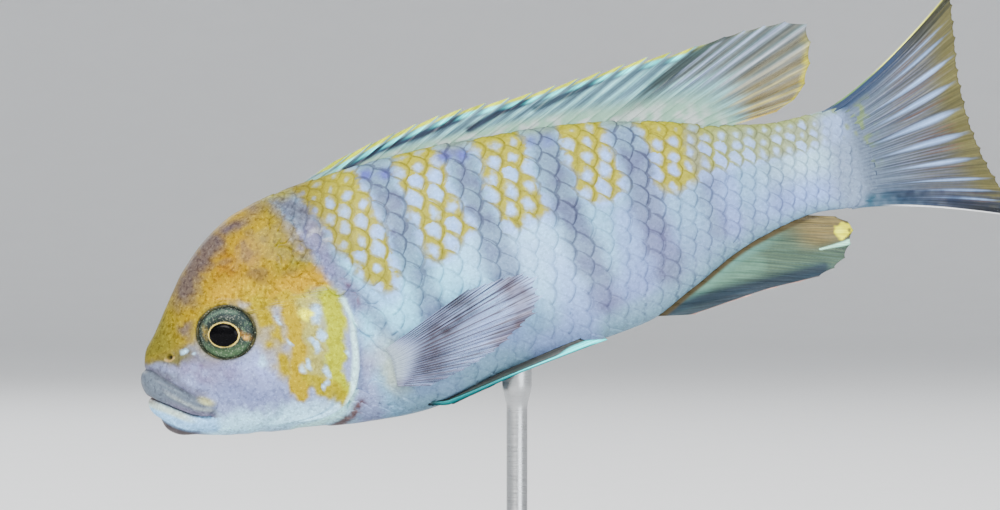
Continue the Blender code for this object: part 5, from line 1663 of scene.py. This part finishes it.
def skin_finish(tree, shader):
    """Moist skin: the painted colour, the scale edges drawn round ellipses, and fine dark and bright dots."""

    def do(operation, *values):
        return maths(tree, operation, *values)

    spot = object_place(tree)
    hue, line = attribute(tree, "hue"), attribute(tree, "line")
    x, y, half = apart(tree, attribute(tree, "net")["Vector"])
    gap = None
    for dx, dy in ((0, 0), (-1, 0), (ROW_SHIFT, 1), (ROW_SHIFT - 1, 1), (-1 - ROW_SHIFT, -1)):
        px = do("MULTIPLY", do("SUBTRACT", x, dx), 1 / SCALE_LONG)
        py = do("MULTIPLY", do("SUBTRACT", y, dy), 1 / SCALE_HIGH)
        away = pointed(tree, px, py)
        rear = do("MINIMUM", do("MAXIMUM", do("ADD", do("DIVIDE", px, away), 0.1), 0.03), 1)
        rim = do("DIVIDE", do("ABSOLUTE", do("SUBTRACT", away, 1)), rear)
        gap = rim if gap is None else do("MINIMUM", gap, rim)
    rough = noise(tree, spot, 1400)
    gap = do("ADD", gap, do("MULTIPLY", do("SUBTRACT", rough, 0.5), 0.16))
    inner, outer = do("MULTIPLY", half, 0.55), do("ADD", do("MULTIPLY", half, 1.25), 0.02)
    lines = spread(tree, gap, inner, outer, 1, 0)
    oval_x = do("MULTIPLY", do("SUBTRACT", x, 0.58), 1 / 0.39)
    oval_y = do("MULTIPLY", y, 1 / 0.57)
    uneven = do("MULTIPLY", noise(tree, spot, 800), 1.8)
    oval = do("ADD", pointed(tree, oval_x, oval_y), do("MULTIPLY", half, 3.2))
    oval = spread(tree, do("ADD", oval, do("ADD", do("MULTIPLY", rough, 0.5), uneven)), 1.85, 2.80)
    netted = spread(tree, half, 0.11, 0.17)
    bare = do("MULTIPLY", do("SUBTRACT", 1, netted), lines)
    strength = do("MULTIPLY", do("ADD", do("MULTIPLY", netted, oval), bare), line["Alpha"])
    colour = blend(tree, strength, hue["Color"], line["Color"])

    seam = do("MULTIPLY", do("MULTIPLY", spread(tree, gap, 0.02, 0.11, 1, 0), netted), line["Alpha"])
    colour = blend(tree, do("MULTIPLY", seam, 0.6), colour, (0.62, 0.58, 0.52, 1), "MULTIPLY")

    # Fine mottling, dark pigment cells and bright guanine flecks, strongest on the head
    mottle = noise(tree, spot, 900, 3, 0.6)
    mottled = spread(tree, mottle, 0.35, 0.75, 0, 0.22)
    colour = blend(tree, mottled, colour, (0.55, 0.58, 0.70, 1), "MULTIPLY")
    amount = do("ADD", do("MULTIPLY", hue["Alpha"], 0.45), 0.30)
    dark = do("MULTIPLY", spread(tree, noise(tree, spot, 2200, 2, 0.6), 0.48, 0.66), amount)
    colour = blend(tree, dark, colour, (0.46, 0.41, 0.44, 1), "MULTIPLY")
    bright = do("MULTIPLY", spread(tree, noise(tree, spot, 3300), 0.50, 0.72), amount)
    colour = blend(tree, bright, colour, (1.7, 1.8, 1.75, 1), "MULTIPLY")
    bumps = do("ADD", mottle, do("MULTIPLY", rough, 0.6)), 0.25, 0.00005
    dress(tree, shader, colour, mottle, (0.34, 0.5), bumps)


def eye_finish(tree, shader):
    """Wet and clear over the painted iris."""
    spot, hue = object_place(tree), attribute(tree, "hue")["Color"]
    flecks = spread(tree, noise(tree, spot, 5200, 2, 0.6), 0.54, 0.70, 0, 0.3)
    grain = noise(tree, spot, 3000, 3, 0.6)
    colour = blend(tree, flecks, hue, blend(tree, 0.6, hue, (0.75, 0.80, 0.60, 1), "SCREEN"))
    shade = spread(tree, grain, 0.3, 0.7, 0, 0.35)
    colour = blend(tree, shade, colour, (0.35, 0.40, 0.35, 1), "MULTIPLY")
    lit = spread(tree, maths(tree, "MAXIMUM", hue, 0), 0.003, 0.02)
    dress(tree, shader, blend(tree, lit, (*PUPIL_BLACK, 1), colour), grain, (0.24, 0.36))


def fin_finish(tree, shader):
    """Thin membrane: painted colour and opacity, with fine threads, grain and dots of pigment."""
    hue, thread = attribute(tree, "hue"), attribute(tree, "silk")["Vector"]
    grain = noise(tree, object_place(tree), 2600, 3, 0.65)
    fine = apart(tree, thread)[2]
    silk = noise(tree, thread, 1, 2, 0.6)
    dark = maths(tree, "MULTIPLY", spread(tree, silk, 0.54, 0.34), fine)
    colour = blend(tree, dark, hue["Color"], (0.34, 0.38, 0.44, 1), "MULTIPLY")
    bright = maths(tree, "MULTIPLY", spread(tree, silk, 0.50, 0.70), fine)
    colour = blend(tree, bright, colour, (1.7, 1.8, 1.9, 1), "MULTIPLY")
    dots = spread(tree, grain, 0.3, 0.75, 0, 0.26)
    colour = blend(tree, dots, colour, (0.45, 0.48, 0.55, 1), "MULTIPLY")
    tree.links.new(hue["Alpha"], shader.inputs["Alpha"])
    dress(tree, shader, colour, grain, (0.34, 0.48), (grain, 0.2, 0.00004))


def wood_finish(tree, shader):
    """Ebonised wood: near black with long fine grain and open pores under a satin lacquer."""
    spot = object_place(tree, (0.09, 1, 1))
    grain, figure = noise(tree, spot, 900, 5, 0.6), noise(tree, spot, 140)
    figure = spread(tree, figure, 0.3, 0.7)
    colour = blend(tree, figure, (0.012, 0.009, 0.008, 1), (0.030, 0.022, 0.017, 1))
    colour = blend(tree, spread(tree, grain, 0.50, 0.72, 0, 0.7), colour, (0.055, 0.040, 0.030, 1))
    dress(tree, shader, colour, grain, (0.34, 0.52), (grain, 0.3, 0.00008))


def steel_finish(tree, shader):
    """Brushed steel: fine rings round the stem."""
    lines = noise(tree, object_place(tree, (0.05, 0.05, 1)), 9000, 3, 0.6)
    colour = blend(tree, lines, (0.28, 0.29, 0.30, 1), (0.50, 0.51, 0.52, 1))
    dress(tree, shader, colour, lines, (0.26, 0.42), (lines, 0.15, 0.00002))


def backdrop_finish(tree, shader):
    """Matt pale paper."""
    grain = noise(tree, object_place(tree), 60, 3)
    colour = blend(tree, grain, (0.84, 0.845, 0.85, 1), (0.87, 0.875, 0.88, 1))
    tree.links.new(colour, shader.inputs["Base Color"])


# How each finish is built, and its even values
FINISHES = {
    "moist_skin": (skin_finish, {"Coat Weight": 0.06, "Coat Roughness": 0.12, "Specular IOR Level": 0.03}),
    "wet_eye": (
        eye_finish,
        {"Coat Weight": 0.15, "Coat Roughness": 0.05, "Coat IOR": 1.25, "Specular IOR Level": 0.03},
    ),
    "fin_membrane": (fin_finish, {"Coat Weight": 0.05, "Coat Roughness": 0.25, "Specular IOR Level": 0.15}),
    "ebonised_wood": (wood_finish, {"Coat Weight": 0.25, "Coat Roughness": 0.3}),
    "brushed_steel": (steel_finish, {"Metallic": 1}),
    "pale_paper": (backdrop_finish, {"Roughness": 0.9}),
}


# Settings, operators and panel


def paint(name, description, value):
    """A colour setting."""
    return bpy.props.FloatVectorProperty(
        name=name, description=description, subtype="COLOR", size=3, min=0, max=1, default=value
    )


def number(name, description, value, **limits):
    """A setting of one value."""
    return bpy.props.FloatProperty(name=name, description=description, default=value, **limits)


class CichlidColours(bpy.types.PropertyGroup):
    """Main colours of the fish"""

    pale: paint("Flank", "Middle of the scales in front of and below the net", seen(207, 225, 248))
    lilac: paint("Lilac", "Tint of the rear flank and the belly", seen(170, 187, 205))
    bar: paint("Bars", "Bars across the flank", seen(147, 160, 178))
    yellow: paint("Net", "Yellow scale edges of the back and the crown", seen(194, 184, 74))
    sky: paint("Sky", "Middle of the scales inside the yellow net", seen(192, 208, 230))
    net: paint("Dark edges", "Scale edges inside the bars", seen(96, 96, 126))
    ochre: paint("Crown", "Ochre over the eye", seen(188, 162, 38))
    mauve: paint("Brow", "Mauve marks on the brow", seen(128, 114, 118))
    fin_yellow: paint("Fin edge", "Edge of the dorsal fin", seen(210, 208, 122))


class CichlidSizes(bpy.types.PropertyGroup):
    """Fine sizes of the skin"""

    scale_lean: number("Scale lean", "How steeply a scale rises to its free edge", 0.05, min=0, max=0.3)
    scale_rim: number("Scale rim", "Thickness of a scale's free edge in millimetres", 0.16, min=0.02, max=0.4)


class CichlidStage(bpy.types.PropertyGroup):
    """Lights and camera"""

    key_power: number("Key light", "Power of the main light", 21, unit="POWER", min=0)
    fill_power: number("Fill light", "Power of the light from the tail's side", 9, unit="POWER", min=0)
    top_power: number("Top light", "Power of the light overhead", 8.5, unit="POWER", min=0)
    back_power: number("Back light", "Power of the light behind the fish", 5, unit="POWER", min=0)
    air: number("Surroundings", "Brightness of the surroundings", 0.7, min=0)
    lens: number("Lens", "Focal length of the camera in millimetres", 218.9, unit="CAMERA", min=10)


class CICHLID_OT_skin(bpy.types.Operator):
    """Lay one skin over the head, trunk and gill covers"""

    bl_idname = "cichlid.skin"
    bl_label = "Skin"

    def execute(self, context):
        make_skin()
        return {"FINISHED"}


class CICHLID_OT_scales(bpy.types.Operator):
    """Cover both flanks with overlapping scales"""

    bl_idname = "cichlid.scales"
    bl_label = "Scales"

    def execute(self, context):
        make_scales()
        return {"FINISHED"}


class CICHLID_OT_eyes(bpy.types.Operator):
    """Set both eyes into their sockets"""

    bl_idname = "cichlid.eyes"
    bl_label = "Eyes"

    def execute(self, context):
        make_eyes()
        return {"FINISHED"}


class CICHLID_OT_teeth(bpy.types.Operator):
    """Add the front teeth under the upper lip"""

    bl_idname = "cichlid.teeth"
    bl_label = "Teeth"

    def execute(self, context):
        make_teeth()
        return {"FINISHED"}


class CICHLID_OT_single_fins(bpy.types.Operator):
    """Build the dorsal, anal and tail fins"""

    bl_idname = "cichlid.single_fins"
    bl_label = "Single Fins"

    def execute(self, context):
        dorsal_fin()
        anal_fin()
        caudal_fin()
        return {"FINISHED"}


class CICHLID_OT_paired_fins(bpy.types.Operator):
    """Build the pectoral and pelvic fins"""

    bl_idname = "cichlid.paired_fins"
    bl_label = "Paired Fins"

    def execute(self, context):
        pectoral_fins()
        pelvic_fins()
        return {"FINISHED"}


class CICHLID_OT_stand(bpy.types.Operator):
    """Build the base and the rod that hold the fish"""

    bl_idname = "cichlid.stand"
    bl_label = "Stand"

    def execute(self, context):
        make_stand()
        return {"FINISHED"}


class CICHLID_OT_stage(bpy.types.Operator):
    """Set up the floor, lights, surroundings and camera"""

    bl_idname = "cichlid.stage"
    bl_label = "Stage"

    def execute(self, context):
        make_stage()
        return {"FINISHED"}


OPERATORS = (
    CICHLID_OT_skin,
    CICHLID_OT_scales,
    CICHLID_OT_eyes,
    CICHLID_OT_teeth,
    CICHLID_OT_single_fins,
    CICHLID_OT_paired_fins,
    CICHLID_OT_stand,
    CICHLID_OT_stage,
)


class CICHLID_PT_model(bpy.types.Panel):
    """Lists the settings and the steps"""

    bl_label = "Cichlid Display Model"
    bl_idname = "CICHLID_PT_model"
    bl_space_type = "VIEW_3D"
    bl_region_type = "UI"
    bl_category = "Cichlid"

    def draw(self, context):
        for name, _ in SETTINGS:
            settings, box = getattr(context.scene, name), self.layout.box()
            for key in type(settings).__annotations__:
                box.prop(settings, key)
        for operator in OPERATORS:
            self.layout.operator(operator.bl_idname)


SETTINGS = (
    ("cichlid_colours", CichlidColours), ("cichlid_sizes", CichlidSizes), ("cichlid_stage", CichlidStage)
)


def register():
    """Adds the settings, the operators and the panel to Blender."""
    for name, group in SETTINGS:
        bpy.utils.register_class(group)
        setattr(bpy.types.Scene, name, bpy.props.PointerProperty(type=group))
    for kind in (*OPERATORS, CICHLID_PT_model):
        bpy.utils.register_class(kind)


def unregister():
    """Takes them out again."""
    for kind in (CICHLID_PT_model, *reversed(OPERATORS)):
        bpy.utils.unregister_class(kind)
    for name, group in reversed(SETTINGS):
        delattr(bpy.types.Scene, name)
        bpy.utils.unregister_class(group)


def main():
    """Builds the stage and all the pieces."""
    register()
    for name in ("stage", "skin", "scales", "eyes", "teeth", "single_fins", "paired_fins", "stand"):
        getattr(bpy.ops.cichlid, name)()


if __name__ == "__main__":
    main()
